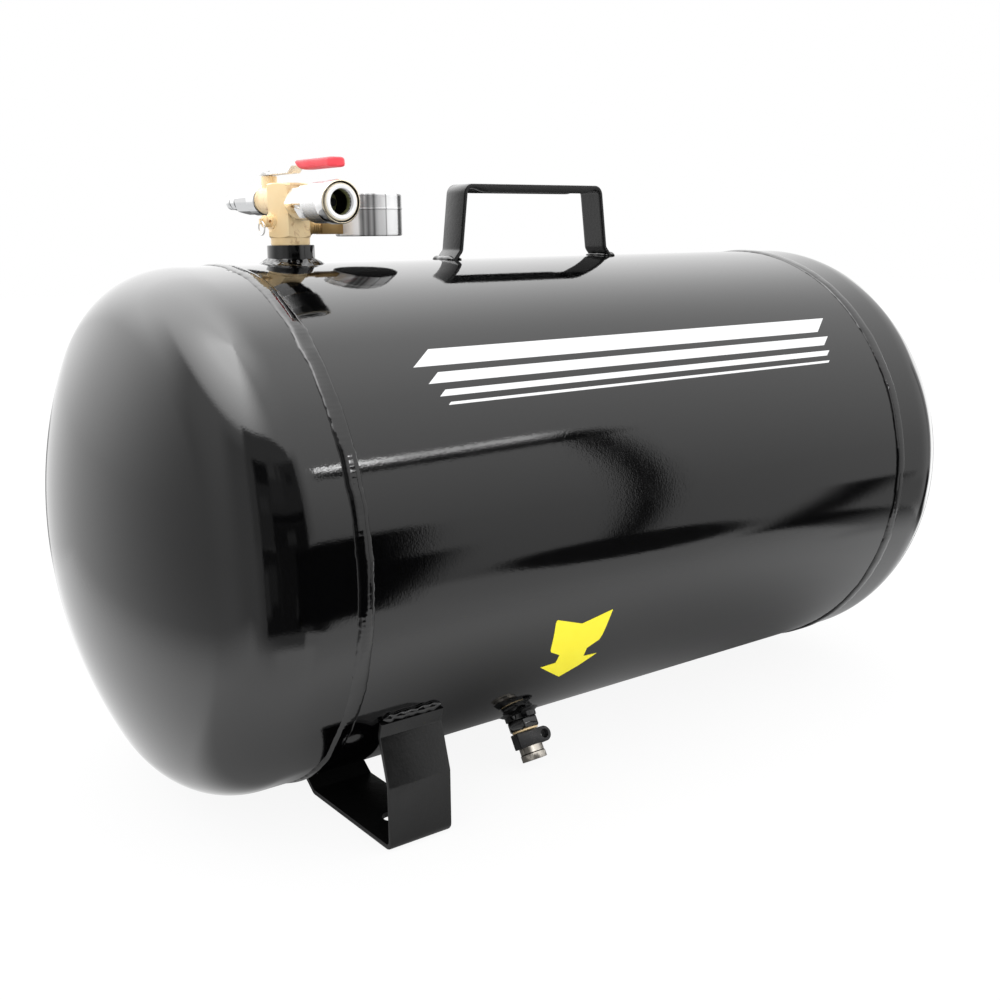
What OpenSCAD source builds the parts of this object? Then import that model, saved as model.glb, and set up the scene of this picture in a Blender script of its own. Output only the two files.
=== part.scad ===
// Portable air receiver: a welded steel tank that lies on two strap feet, with a carry handle,
// a brass riser that holds the gauge, the fill valve, the relief valve and the quick coupler,
// and a drain cock low on the front.
// The tank's axis runs along X, the handle is up, and the origin is on the floor under its middle.

/* [Tank] */
// Outside diameter of the shell and the heads
tank_d = 300; // [280:1:320]
// Distance between the centres of the two girth welds
girth_spacing = 426; // [400:1:480]
// Thickness of the shell and of the heads
wall = 2.5; // [2:0.1:3.5]
// Straight part of each head, measured from its girth weld
head_flange = 24; // [16:1:32]
// Outside radius of the flat crown of each head
crown_r = 280; // [260:1:300]
// Outside radius of the knuckle that joins crown and flange
knuckle_r = 48; // [42:1:56]
// Open gap between shell and head, which the girth weld fills
root_gap = 2; // [1:0.1:3]
// Width of the girth weld's crown
girth_weld_w = 9.5; // [7:0.1:12]
// Height of the girth weld's crown
girth_weld_h = 1.2; // [0.8:0.1:1.6]

/* [Carry handle] */
// Place of the handle's middle along the tank
handle_x = 4.3; // [-20:0.1:20]
// Width of the handle's strap
handle_w = 20; // [18:0.5:26]
// Thickness of the handle's strap
handle_t = 2.8; // [2:0.1:3.5]
// Length of the handle over its top corners
handle_len = 113; // [100:1:130]
// Height of the handle above the top of the shell
handle_rise = 46; // [40:0.5:55]
// How far each leg stands out by the time it reaches its knee
leg_splay = 4.6; // [2:0.1:8]
// Height of the knee, where each leg turns outwards
knee_h = 6.5; // [5:0.1:10]
// How far the foot of each leg runs out past its knee
toe_run = 7; // [5:0.1:9]
// Bend radius of the top corners, at the middle of the strap
handle_bend = 5; // [4:0.1:7]
// Bend radius of the knees, at the middle of the strap
knee_bend = 5; // [4:0.1:6]
// How far the grip's edges are turned down below the strap
lip_depth = 2.4; // [1.5:0.1:4]
// Thickness of the turned-down edges
lip_t = 2.2; // [1.5:0.1:3]
// Length of the grip that has the turned-down edges
lip_len = 99; // [80:1:99]
// Length over which each turned-down edge fades out
lip_fade = 8; // [5:0.5:12]
// Width of the weld fillets at the handle's legs
handle_weld = 3; // [2:0.1:4]

/* [Feet] */
// Height of the tank's underside above the floor
ground_gap = 9; // [8:0.5:14]
// Distance of the middle of both feet from the left girth weld
foot_inset = 40.5; // [33:0.5:93]
// Width of each foot's strap
foot_w = 39.5; // [30:0.5:50]
// Thickness of each foot's strap
foot_t = 3; // [2.5:0.1:4]
// Angle below the horizontal at which the upper flange lies on the shell
flange_angle = 35.1; // [32:0.1:40]
// Distance of the foot's outer wall from the tank's middle plane
foot_reach = 131; // [125:0.5:140]
// Height of the wall's upper fold above the floor
wall_fold_h = 37; // [30:0.5:42]
// Distance of the inner end of the sole from the tank's middle plane
sole_inner = 43; // [35:0.5:50]
// Bend radius of the foot's folds, at the middle of the strap
foot_bend = 4; // [3:0.1:6]
// Distance of the bolt hole from the tank's middle plane
foot_hole_y = 100; // [80:0.5:110]
// Diameter of the bolt hole in each sole
foot_hole_d = 9; // [6:0.1:12]
// Width of the weld fillets at the feet
foot_weld = 3; // [2:0.1:4]

/* [Riser] */
// Distance of the riser from the left girth weld
riser_inset = 44.5; // [43:0.1:63]
// Outside diameter of the bung that is welded into the shell
bung_d = 27.2; // [26:0.1:32]
// Height of the bung above the top of the shell
bung_h = 10.5; // [8:0.1:14]
// Depth of the bung below the top of the shell
bung_inside = 5; // [4:0.1:8]
// Width of the weld around the bung
bung_weld_w = 6.6; // [5:0.1:8]
// Height of the weld around the bung
bung_weld_h = 3.6; // [2.5:0.1:5]
// Diameter of the riser's pipe thread
riser_thread_d = 20.9; // [19:0.1:22]
// Length of the riser's pipe thread
riser_thread_len = 12; // [10:0.5:14]
// Diameter of the neck below the hexagon
neck_d = 22.2; // [21.5:0.1:24]
// Height of the neck below the hexagon
neck_h = 3.8; // [2:0.1:6]
// Width across the flats of the riser's hexagon
riser_af = 23; // [22.5:0.1:26]
// Height of the riser's hexagon
riser_h = 30.5; // [29.5:0.1:36]
// Diameter of the air way up through the riser
riser_bore_d = 8; // [6:0.1:8.4]
// Height of the hexagon's chamfers
riser_chamfer = 1.3; // [0.8:0.1:2]
// Height of the coupler's port above the foot of the hexagon
coupler_port_h = 18.9; // [17:0.1:20]
// Height of the fill valve's port above the foot of the hexagon
valve_port_h = 21.7; // [20:0.1:22.5]
// Height of the gauge's port above the foot of the hexagon
gauge_port_h = 5.7; // [5.6:0.1:6.6]
// Height of the relief valve's port above the foot of the hexagon
relief_port_h = 9.4; // [6:0.1:9.6]
// Diameter of the two quarter-inch pipe threads
quarter_thread_d = 13.16; // [12:0.01:13.5]
// Diameter of the two eighth-inch pipe threads
eighth_thread_d = 9.7; // [9:0.01:10]

/* [Fill valve] */
// Outside diameter of the round valve housing
housing_d = 16.2; // [15:0.1:18]
// Distance of the housing's shoulder from the riser's axis
housing_end = 28.4; // [28.2:0.1:32]
// Length of the thread beyond the shoulder
housing_thread_len = 9; // [8:0.5:12]
// Distance of the ball's centre from the riser's axis
ball_y = 23.5; // [22:0.1:23.6]
// Diameter of the ball
ball_d = 9.6; // [8.5:0.1:9.8]
// Diameter of the way through the ball
ball_bore_d = 5.2; // [4:0.1:5.6]
// Diameter of the chamber that holds the ball and its seats
chamber_d = 10.6; // [10.2:0.1:11]
// Thickness of the end ring that holds the seats in
seat_ring_t = 2.5; // [2:0.1:3]
// Outside diameter of the stem's tower
tower_d = 9.2; // [9:0.1:11]
// Height of the tower above the valve's axis
tower_h = 13.6; // [13:0.1:16]
// Diameter of the stem
stem_d = 4; // [3.5:0.1:4.4]
// Diameter of the stem's shoulder, which keeps it from blowing out
stem_shoulder_d = 5.8; // [5:0.1:6]
// Diameter of the gland that holds the packing
gland_d = 6.6; // [6.2:0.1:7]
// Diameter of the rivet end that holds the lever
rivet_d = 3.8; // [3.6:0.1:5]
// Height of the rivet end
rivet_h = 1; // [0.6:0.1:1.5]

/* [Lever] */
// Thickness of the lever's plate
lever_t = 1.5; // [1:0.1:2]
// Width of the lever's plate
lever_w = 8; // [7:0.1:8.6]
// Diameter of the rounded end round the stem
lever_eye_d = 11.4; // [10:0.1:13]
// Distance from the stem to the bottom of the lever's crank
crank_start = 31; // [26:0.1:34]
// Length of the lever's crank
crank_run = 5; // [4:0.1:8]
// Height that the crank lifts the lever
crank_rise = 3.6; // [2:0.1:6]
// Distance from the stem to the outer end of the grip
lever_reach = 84; // [75:0.5:95]
// Length of the soft grip
grip_len = 44; // [38:0.5:46]
// Width of the soft grip
grip_w = 10.4; // [10:0.1:14]
// Thickness of the soft grip
grip_t = 4.6; // [4:0.1:7]
// Slant of the grip's inner end
grip_slant = 7; // [2:0.1:8]

/* [Inlet plug] */
// Diameter of the plug's round skirt
skirt_d = 17.2; // [17:0.1:20]
// Length of the round skirt
skirt_len = 11; // [11:0.1:14]
// Width across the flats of the plug's hexagon
plug_af = 14.2; // [14:0.1:14.8]
// Length of the hexagon with its chamfers
plug_hex_len = 20.6; // [16:0.1:24]
// Length of the cone at the hexagon's outer end
plug_cone_len = 4; // [3:0.1:7]
// Diameter of the plug's collar
plug_collar_d = 10.4; // [10:0.1:11]
// Length of the plug's collar
plug_collar_len = 6.1; // [4:0.1:7]
// Diameter of the plug's nose
plug_nose_d = 9.4; // [9:0.1:9.9]
// Length of the plug's nose
plug_nose_len = 6.3; // [5:0.1:8]
// Diameter of the two grooves of the plug
plug_groove_d = 8.2; // [7.6:0.1:8.6]
// Width of the groove behind the collar
rear_groove_w = 2.5; // [2:0.1:3]
// Width of the groove between collar and nose
front_groove_w = 1.3; // [1:0.1:2]
// Diameter of the air way through the plug
plug_bore_d = 5.6; // [4:0.1:6]

/* [Quick coupler] */
// Width across the flats of the coupler's hexagon
coupler_af = 17; // [15:0.1:17.4]
// Length of the coupler's hexagon
coupler_hex_len = 12; // [10:0.1:14]
// Distance of the coupler's mouth from the riser's flat
coupler_len = 50.3; // [48.5:0.1:54]
// Diameter of the bore that takes a plug
socket_d = 13.6; // [13:0.1:13.8]
// Diameter of the wider lead-in of that bore
lead_in_d = 14; // [13.9:0.1:14.2]
// Length of the lead-in
lead_in_len = 5; // [4:0.1:5.4]
// Depth of the bore that takes a plug
socket_depth = 18; // [16:0.1:19]
// Outside diameter of the nose that carries the lock balls
nose_d = 16.8; // [16.6:0.1:17]
// Diameter of the flange at the mouth
mouth_flange_d = 20.4; // [20:0.1:20.8]
// Thickness of the flange at the mouth
mouth_flange_t = 2; // [1.5:0.1:2.4]
// Outside diameter of the sleeve at the mouth
sleeve_d = 23.5; // [23:0.1:25]
// Outside diameter of the sleeve's knurled band
knurl_d = 22.2; // [22:0.1:22.8]
// Length of the sleeve's knurled band
knurl_len = 14; // [10:0.1:18]
// Distance of the sleeve's rear end from the riser's flat
sleeve_start = 16; // [15.8:0.1:16.4]
// How far the sleeve slides back to let a plug go
sleeve_travel = 3.4; // [2.6:0.1:3.5]
// Diameter of a lock ball
lock_ball_d = 3.2; // [3:0.1:3.3]
// Number of lock balls
lock_ball_count = 6; // [4:1:8]
// Distance of the lock balls behind the mouth
lock_ball_depth = 7.4; // [7.2:0.1:8]
// Wire diameter of the sleeve's spring
sleeve_wire_d = 0.9; // [0.7:0.1:0.9]
// Diameter of the poppet's head
poppet_d = 10.4; // [9.6:0.1:10.6]
// Diameter of the poppet's stem
poppet_stem_d = 4.4; // [3:0.1:5]
// Length of the poppet's stem in front of its head
poppet_stem_len = 10; // [8:0.1:12]
// How far a plug pushes the poppet back
poppet_travel = 4; // [3:0.1:5]
// Wire diameter of the poppet's spring
poppet_wire_d = 0.8; // [0.6:0.1:1]
// Thickness of the soft seal
seal_t = 2; // [1.5:0.1:2.5]

/* [Gauge] */
// Distance of the gauge's centre from the riser's axis
gauge_reach = 52.3; // [50:0.1:60]
// Diameter of the gauge's case
gauge_d = 40; // [38:0.1:42]
// Height of the case below the bezel
case_h = 15.4; // [14.5:0.1:18]
// Height of the bezel
bezel_h = 9; // [8:0.1:11]
// Thickness of the pressed metal of case and bezel
gauge_wall = 0.8; // [0.6:0.1:1]
// How much the bezel's edge stands out
bezel_bead = 0.35; // [0.2:0.05:0.6]
// Height of the gauge's socket above the bottom of the case
gauge_socket_h = 5.2; // [5:0.1:6.5]
// Width of the square part of the gauge's socket
gauge_socket_w = 7.5; // [7:0.1:8.6]
// Length of the round ribbed part between riser and square
gauge_thread_show = 6.5; // [4:0.1:8]
// Thickness of the lens
lens_t = 1.4; // [1:0.1:2]
// Width of the window inside the bezel's lip
window_d = 34; // [32:0.1:36]
// Length of the pointer from its pivot
pointer_len = 12.5; // [10:0.1:14]
// Diameter of the pointer's shaft
pointer_shaft_d = 1.3; // [1:0.1:1.6]
// Radius of the middle of the pressure tube's curve
tube_r = 13; // [12:0.1:14]

/* [Relief valve] */
// Length of the relief valve's stub outside the riser
relief_stub_len = 2.8; // [2.6:0.1:8]
// Diameter of the relief valve's stub
relief_stub_d = 6.4; // [6:0.1:7.5]
// Diameter of the pull cap
pull_cap_d = 6.8; // [6.5:0.1:8]
// Thickness of the pull cap
pull_cap_t = 1; // [0.8:0.1:2]
// How far the pull cap lifts
relief_lift = 1.2; // [0.8:0.1:1.5]
// Diameter of the relief stem
relief_stem_d = 1.8; // [1.6:0.1:2]
// Mean diameter of the pull ring
pull_ring_d = 7.4; // [7:0.1:10]
// Wire diameter of the pull ring
ring_wire_d = 0.9; // [0.7:0.1:1]

/* [Drain cock] */
// Place of the drain along the tank
drain_x = -66; // [-90:0.5:-40]
// Angle below the horizontal at which the drain points
drain_angle = 58; // [50:1:58]
// Outside diameter of the drain's bung
drain_bung_d = 20; // [19:0.1:24]
// Height of the drain's bung above the shell
drain_bung_h = 4.6; // [4:0.1:6]
// Width of the weld around the drain's bung
drain_weld_w = 4; // [3:0.1:5]
// Width across the flats of the drain's bushing
bushing_af = 18; // [17:0.1:20]
// Height of the drain's bushing
bushing_h = 6.6; // [5:0.1:8]
// Diameter of the brass flange below the bushing
drain_flange_d = 16.8; // [14:0.1:17]
// Thickness of the brass flange
drain_flange_t = 1; // [0.8:0.1:1.5]
// Height of the turning tab
tab_h = 9.6; // [9:0.1:11]
// Thickness of the turning tab
tab_t = 8; // [7:0.1:9]
// Length of the tab on the side away from its eye
tab_short = 9.4; // [8:0.1:11]
// Distance of the eye's centre from the drain's axis
eye_x = 10.6; // [10.4:0.1:12]
// Diameter of the hole through the eye
eye_hole_d = 5.2; // [4:0.1:5.4]
// Diameter of the drain's needle stem
needle_d = 4.8; // [4:0.1:5]
// Diameter of the spout's upper step
spout_d = 15; // [13:0.1:16]
// Height of the spout's upper step
spout_h = 4.4; // [3:0.1:4.6]
// Diameter of the spout's lower step
spout_rim_d = 15.8; // [14:0.1:17]
// Height of the spout's lower step
spout_rim_h = 4; // [3:0.1:4.2]
// Diameter of the way out through the spout
spout_bore_d = 3; // [2:0.1:3.4]

/* [Hidden] */

$fn = 64;
// Gap between pieces that move past each other without touching
slip = 0.3;
// Radial clearance of a running fit
run_fit = 0.08;
// Clearance that a tool cut runs past the surface it starts from
cut = 1;
// Steps in each rounded bend of a strap
bend_steps = 8;

// Colours of the finishes
black_paint = [0.05, 0.05, 0.055];
brass = [0.86, 0.68, 0.36];
chrome = [0.86, 0.87, 0.89];
steel = [0.62, 0.63, 0.65];
soft_white = [0.93, 0.93, 0.9];
red_vinyl = [0.88, 0.2, 0.24];
seal_green = [0.32, 0.33, 0.2];
clear_glass = [0.85, 0.92, 0.95, 0.4];
dial_white = [0.95, 0.95, 0.93];
dark_rubber = [0.1, 0.1, 0.1];
spout_nickel = [0.75, 0.73, 0.68];

// The tank
tank_r = tank_d / 2;
axis_h = tank_r + ground_gap;
weld_x = girth_spacing / 2;
foot_x = foot_inset - weld_x;
riser_x = riser_inset - weld_x;
knuckle_centre_r = tank_r - knuckle_r;
head_depth = crown_r - sqrt(pow(crown_r - knuckle_r, 2) - pow(knuckle_centre_r, 2));
crown_centre_h = head_flange + head_depth - crown_r;
head_reach = 2 * crown_r;

// Heights in the riser's frame, which starts at the tank's axis
bung_top = tank_r + bung_h;
hex_base = bung_top + neck_h;
hex_top = hex_base + riser_h;
coupler_h = hex_base + coupler_port_h;
valve_h = hex_base + valve_port_h;
gauge_h = hex_base + gauge_port_h;
relief_h = hex_base + relief_port_h;
riser_flat = riser_af / 2;
riser_corner = riser_flat / cos(30);
port_face = riser_flat + 0.5 * (riser_corner - riser_flat);
port_depth = 7;

// ---- Shared shapes ----

module on_axis() translate([0, 0, axis_h]) children();
module on_riser() translate([riser_x, 0, axis_h]) children();
module facing_left() rotate([0, -90, 0]) children();
module facing_right() rotate([0, 90, 0]) children();
module facing_front() rotate([90, 0, 0]) children();
module facing_back() rotate([-90, 0, 0]) children();

// A round tube that stands on its end
module tube(outer, inner, height) {
    difference() {
        cylinder(d = outer, h = height);
        translate([0, 0, -cut]) cylinder(d = inner, h = height + 2 * cut);
    }
}

// Share of a hexagon's width that the round face at its end takes up
hex_face_share = 0.96;

// A hexagonal bar with its corners turned off to a cone at both ends
module hex_bar(across, height, chamfer) {
    corner = across / 2 / cos(30);
    face = across / 2 * hex_face_share;
    intersection() {
        cylinder(r = corner, h = height, $fn = 6);
        rotate_extrude()
            polygon([[0, 0], [face, 0], [corner, chamfer], [corner, height - chamfer],
                [face, height], [0, height]]);
    }
}

// Points round the bend at b, on the way from a to c
function bend_points(a, b, c, r) =
    let (u = (a - b) / norm(a - b), v = (c - b) / norm(c - b), half = acos(u * v) / 2,
        centre = b + (u + v) / norm(u + v) * r / sin(half), first = b + u * r / tan(half) - centre,
        last = b + v * r / tan(half) - centre, from = atan2(first.y, first.x),
        turn = atan2(first.x * last.y - first.y * last.x, first * last))
    [for (i = [0:bend_steps]) centre + r * [cos(from + turn * i / bend_steps),
        sin(from + turn * i / bend_steps)]];

// A centre line through the points, with a bend of the radius at each inner point
function bent_line(points, radii) =
    [points[0], for (i = [1:len(points) - 2]) each
        bend_points(points[i - 1], points[i], points[i + 1], radii[i - 1]), points[len(points) - 1]];

function across(v) = [-v.y, v.x] / norm(v);

// The line moved sideways by a distance, with true thickness kept at each corner
function beside(line, distance) =
    [for (i = [0:len(line) - 1])
        let (before = across(line[max(i, 1)] - line[max(i, 1) - 1]),
            after = across(line[min(i + 1, len(line) - 1)] - line[min(i, len(line) - 2)]),
            middle = before + after)
        line[i] + middle * distance * 2 / (middle * middle)];

// The side view of a strap along a centre line
module strap(line, thickness) {
    other_side = beside(line, -thickness / 2);
    polygon([each beside(line, thickness / 2),
        for (i = [len(line) - 1:-1:0]) other_side[i]]);
}

// A coil of round wire that stands on the floor plane, from end to end
coil_sides = 6;
coil_steps = 16;
module coil(mean_d, wire_d, length, turns) {
    last = turns * coil_steps;
    lift = (length - wire_d) / last;
    points = [for (i = [0:last], j = [0:coil_sides - 1])
        let (a = 360 * i / coil_steps, b = 360 * j / coil_sides, r = mean_d / 2 + wire_d / 2 * cos(b))
        [r * cos(a), r * sin(a), wire_d / 2 + lift * i + wire_d / 2 * sin(b)]];
    walls = [for (i = [0:last - 1], j = [0:coil_sides - 1])
        let (k = (j + 1) % coil_sides, p = i * coil_sides, q = p + coil_sides)
        each [[p + j, q + j, q + k], [p + j, q + k, p + k]]];
    start = [for (j = [0:coil_sides - 1]) j];
    finish = [for (j = [coil_sides - 1:-1:0]) last * coil_sides + j];
    polyhedron(points = points, faces = [each walls, start, finish], convexity = 8);
}

// Everything inside the outside face of the shell
module shell_body() on_axis() facing_right()
    cylinder(r = tank_r, h = girth_spacing, center = true, $fn = 480);

// ---- Tank ----

module on_drain() on_axis() translate([drain_x, 0, 0]) rotate([90 + drain_angle, 0, 0]) children();

module shell() color(black_paint) difference() {
    on_axis() facing_right() translate([0, 0, -weld_x + root_gap / 2]) difference() {
        cylinder(r = tank_r, h = girth_spacing - root_gap, $fn = 128);
        translate([0, 0, -cut]) cylinder(r = tank_r - wall, h = girth_spacing + 2 * cut, $fn = 128);
    }
    on_riser() cylinder(d = bung_d, h = bung_top);
    on_drain() cylinder(d = drain_bung_d, h = tank_r + drain_bung_h);
}

// Half section of a dished head, moved in from its outside face
module head_section(inset) {
    square([tank_r - inset, head_flange]);
    translate([knuckle_centre_r, head_flange]) circle(r = knuckle_r - inset, $fn = 96);
    intersection() {
        translate([0, crown_centre_h]) circle(r = crown_r - inset, $fn = 192);
        polygon([[0, crown_centre_h], [knuckle_centre_r, head_flange] * head_reach / crown_r
            + [0, crown_centre_h] * (1 - head_reach / crown_r), [0, crown_centre_h + head_reach]]);
    }
}

module head() rotate_extrude($fn = 128) intersection() {
    difference() {
        head_section(0);
        head_section(wall);
    }
    translate([0, root_gap / 2]) square([tank_r + cut, head_flange + head_depth + cut]);
}

module left_head() color(black_paint) on_axis() translate([-weld_x, 0, 0]) facing_left() head();
module right_head() color(black_paint) on_axis() translate([weld_x, 0, 0]) facing_right() head();

// The weld fills the gap and stands proud of the shell in a low crown
module girth_weld() {
    crown_radius = (pow(girth_weld_w / 2, 2) + pow(girth_weld_h, 2)) / (2 * girth_weld_h);
    on_axis() facing_right() rotate_extrude($fn = 128) {
        translate([tank_r - wall, -root_gap / 2]) square([wall, root_gap]);
        intersection() {
            translate([tank_r + girth_weld_h - crown_radius, 0]) circle(r = crown_radius);
            translate([tank_r, -girth_weld_w / 2]) square([girth_weld_h + cut, girth_weld_w]);
        }
    }
}

module left_girth_weld() color(black_paint) translate([-weld_x, 0, 0]) girth_weld();
module right_girth_weld() color(black_paint) translate([weld_x, 0, 0]) girth_weld();

// ---- Carry handle ----

handle_top = tank_r + handle_rise;
strap_z = handle_top - handle_t / 2;
corner_x = handle_len / 2 - handle_t / 2;
knee_x = corner_x + leg_splay;
knee_z = tank_r + knee_h;
toe_x = knee_x + toe_run;
toe_sink = 1.5;

module handle_strap() {
    line = bent_line([[-toe_x, tank_r - toe_sink], [-knee_x, knee_z], [-corner_x, strap_z],
        [corner_x, strap_z], [knee_x, knee_z], [toe_x, tank_r - toe_sink]],
        [knee_bend, handle_bend, handle_bend, knee_bend]);
    on_axis() translate([handle_x, handle_w / 2, 0]) facing_front()
        linear_extrude(height = handle_w) strap(line, handle_t);
}

// One edge of the grip, turned down and faded out at both ends
module grip_lip() {
    lip_z = handle_top - handle_t;
    facing_front() linear_extrude(height = lip_t)
        polygon([[-lip_len / 2, lip_z], [-lip_len / 2 + lip_fade, lip_z - lip_depth],
            [lip_len / 2 - lip_fade, lip_z - lip_depth], [lip_len / 2, lip_z],
            [lip_len / 2, lip_z + handle_t / 2], [-lip_len / 2, lip_z + handle_t / 2]]);
}

module carry_handle() color(black_paint) difference() {
    union() {
        handle_strap();
        for (edge = [-handle_w / 2 + lip_t, handle_w / 2])
            on_axis() translate([handle_x, edge, 0]) grip_lip();
    }
    shell_body();
}

// Fillets on both faces of each leg, cut to the shell and to the strap
module handle_welds() color(black_paint) difference() {
    base_z = tank_r - toe_sink;
    weld_run = handle_weld + handle_t;
    on_axis() for (side = [-1, 1])
        translate([handle_x, handle_w / 2 + handle_weld / 2, 0]) facing_front()
            linear_extrude(height = handle_w + handle_weld)
                polygon([[side * (toe_x - weld_run - toe_run / 2), base_z],
                    [side * (toe_x - handle_t), tank_r + handle_weld],
                    [side * (toe_x + handle_t / 2), tank_r + handle_weld],
                    [side * (toe_x + weld_run), base_z]]);
    shell_body();
    handle_strap();
}

// ---- Feet ----

sole_z = foot_t / 2;
wall_y = foot_reach - foot_t / 2;
flange_r = tank_r + foot_t / 2;
flange_y = flange_r * cos(flange_angle);
flange_z = axis_h - flange_r * sin(flange_angle);
// The flange lies on the shell for a short way before the strap turns out to the wall
flange_len = 8.5;
flange_lean = 15;
neck_y = flange_y - flange_len * sin(flange_lean);
neck_z = flange_z - flange_len * cos(flange_lean);
inner_rise_y = 16;
inner_y = sole_inner - inner_rise_y;
inner_z = axis_h - sqrt(pow(tank_r, 2) - pow(inner_y, 2)) + foot_t / 2;

module foot_strap() {
    line = bent_line([[flange_y, flange_z], [neck_y, neck_z], [wall_y, wall_fold_h], [wall_y, sole_z],
        [sole_inner, sole_z], [inner_y, inner_z]], [foot_bend, foot_bend, foot_bend, foot_bend]);
    translate([foot_x - foot_w / 2, 0, 0]) rotate([90, 0, 90]) linear_extrude(height = foot_w)
        strap(line, foot_t);
}

module foot() difference() {
    foot_strap();
    shell_body();
    translate([foot_x, foot_hole_y, -cut]) cylinder(d = foot_hole_d, h = foot_t + 2 * cut);
}

module front_foot() color(black_paint) mirror([0, 1, 0]) foot();
module rear_foot() color(black_paint) foot();

// One fillet above each flange and one at each inner end, cut to the shell
module foot_welds() color(black_paint) for (side = [0, 1]) mirror([0, side, 0]) difference() {
    union() {
        on_axis() translate([foot_x, 0, 0]) rotate([-flange_angle, 0, 0])
            translate([0, tank_r, foot_weld * 0.5]) facing_right()
                cylinder(r = foot_weld, h = foot_w, center = true);
        translate([foot_x, inner_y - foot_t / 2, inner_z - foot_t / 2]) facing_right()
            cylinder(r = foot_weld, h = foot_w, center = true);
    }
    shell_body();
    foot_strap();
}

// ---- Outlet bung and riser ----

module outlet_bung() color(black_paint) on_riser() translate([0, 0, tank_r - bung_inside])
    tube(bung_d, riser_thread_d, bung_inside + bung_h);

// A fillet round a bung, cut to the shell
module bung_fillet(outer, width, height) rotate_extrude()
    polygon([[outer / 2, tank_r - bung_inside], [outer / 2, tank_r + height],
        [outer / 2 + width * 0.3, tank_r + height * 0.8], [outer / 2 + width * 0.75, tank_r + height * 0.35],
        [outer / 2 + width, tank_r], [outer / 2 + width, tank_r - bung_inside]]);

module outlet_bung_weld() color(black_paint) difference() {
    on_riser() bung_fillet(bung_d, bung_weld_w, bung_weld_h);
    shell_body();
}

housing_edge = 1.2;
chamber_start = ball_y - ball_d / 2 - 1.1;
housing_thread_end = housing_end + housing_thread_len;
shoulder_bore_h = ball_d / 2 + 2.5;
packing_h = 9.3;
relief_seat_x = 4.5;
relief_way_d = 3.6;

module riser_body() color(brass) on_riser() difference() {
    union() {
        translate([0, 0, hex_base]) hex_bar(riser_af, riser_h, riser_chamfer);
        translate([0, 0, bung_top]) cylinder(d = neck_d, h = neck_h + cut);
        translate([0, 0, bung_top - riser_thread_len])
            cylinder(d = riser_thread_d, h = riser_thread_len + cut);
        translate([0, 0, valve_h]) facing_back() {
            cylinder(d = housing_d, h = housing_end - housing_edge);
            translate([0, 0, housing_end - housing_edge])
                cylinder(d1 = housing_d, d2 = housing_d - housing_edge, h = housing_edge);
            cylinder(d = quarter_thread_d, h = housing_thread_end);
        }
        translate([0, ball_y, valve_h]) cylinder(d = tower_d, h = tower_h);
    }
    // The air way, and the ports that meet it
    translate([0, 0, bung_top - riser_thread_len - cut])
        cylinder(d = riser_bore_d, h = valve_h + ball_bore_d - bung_top + riser_thread_len + cut);
    translate([0, 0, coupler_h]) facing_front() {
        cylinder(d = plug_bore_d, h = riser_af);
        translate([0, 0, riser_flat - port_depth]) cylinder(d = quarter_thread_d, h = riser_af);
    }
    translate([0, 0, valve_h]) facing_back() {
        cylinder(d = ball_bore_d, h = housing_thread_end + cut);
        translate([0, 0, chamber_start]) cylinder(d = chamber_d, h = housing_thread_end);
    }
    translate([0, 0, gauge_h]) facing_right() {
        cylinder(d = relief_way_d, h = riser_corner);
        translate([0, 0, port_face - port_depth]) cylinder(d = eighth_thread_d, h = riser_af);
        translate([0, 0, port_face]) cylinder(d = eighth_thread_d + 2 * cut, h = riser_corner);
    }
    translate([0, 0, relief_h]) facing_left() {
        cylinder(d = relief_way_d, h = riser_corner);
        translate([0, 0, relief_seat_x]) cylinder(d = eighth_thread_d, h = riser_af);
        translate([0, 0, port_face]) cylinder(d = eighth_thread_d + 2 * cut, h = riser_corner);
    }
    // The stem's bores, from the ball's chamber to the top of the tower
    translate([0, ball_y, valve_h]) {
        cylinder(d = stem_shoulder_d + 2 * run_fit, h = shoulder_bore_h);
        cylinder(d = stem_d + 2 * run_fit, h = tower_h + cut);
        translate([0, 0, packing_h]) cylinder(d = gland_d, h = tower_h);
    }
}

// ---- Fill valve ----

seat_far = 2 * ball_y - chamber_start;
module ball_seats() color(soft_white) on_riser() translate([0, 0, valve_h]) facing_back() difference() {
    for (start = [chamber_start, ball_y + ball_d * 0.3])
        translate([0, 0, start]) tube(chamber_d, ball_bore_d, seat_far - ball_y - ball_d * 0.3);
    translate([0, 0, ball_y]) sphere(d = ball_d + 2 * run_fit);
}

module seat_retainer() color(brass) on_riser() translate([0, 0, valve_h]) facing_back()
    translate([0, 0, seat_far]) tube(chamber_d, ball_bore_d, seat_ring_t);

packing_t = 2;
module stem_packing() color(soft_white) on_riser() translate([0, ball_y, valve_h + packing_h])
    tube(gland_d, stem_d + 2 * run_fit, packing_t);

module packing_gland() color(brass) on_riser() translate([0, ball_y, valve_h + packing_h + packing_t])
    tube(gland_d, stem_d + 2 * slip, tower_h - packing_h - packing_t);

tang_w = 1.8;
tang_depth = 1.3;
module valve_ball() color(chrome) on_riser() translate([0, ball_y, valve_h]) difference() {
    sphere(d = ball_d);
    facing_back() cylinder(d = ball_bore_d, h = ball_d, center = true);
    translate([-tang_w / 2, -ball_d, ball_d / 2 - tang_depth]) cube([tang_w, 2 * ball_d, ball_d]);
}

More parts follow.
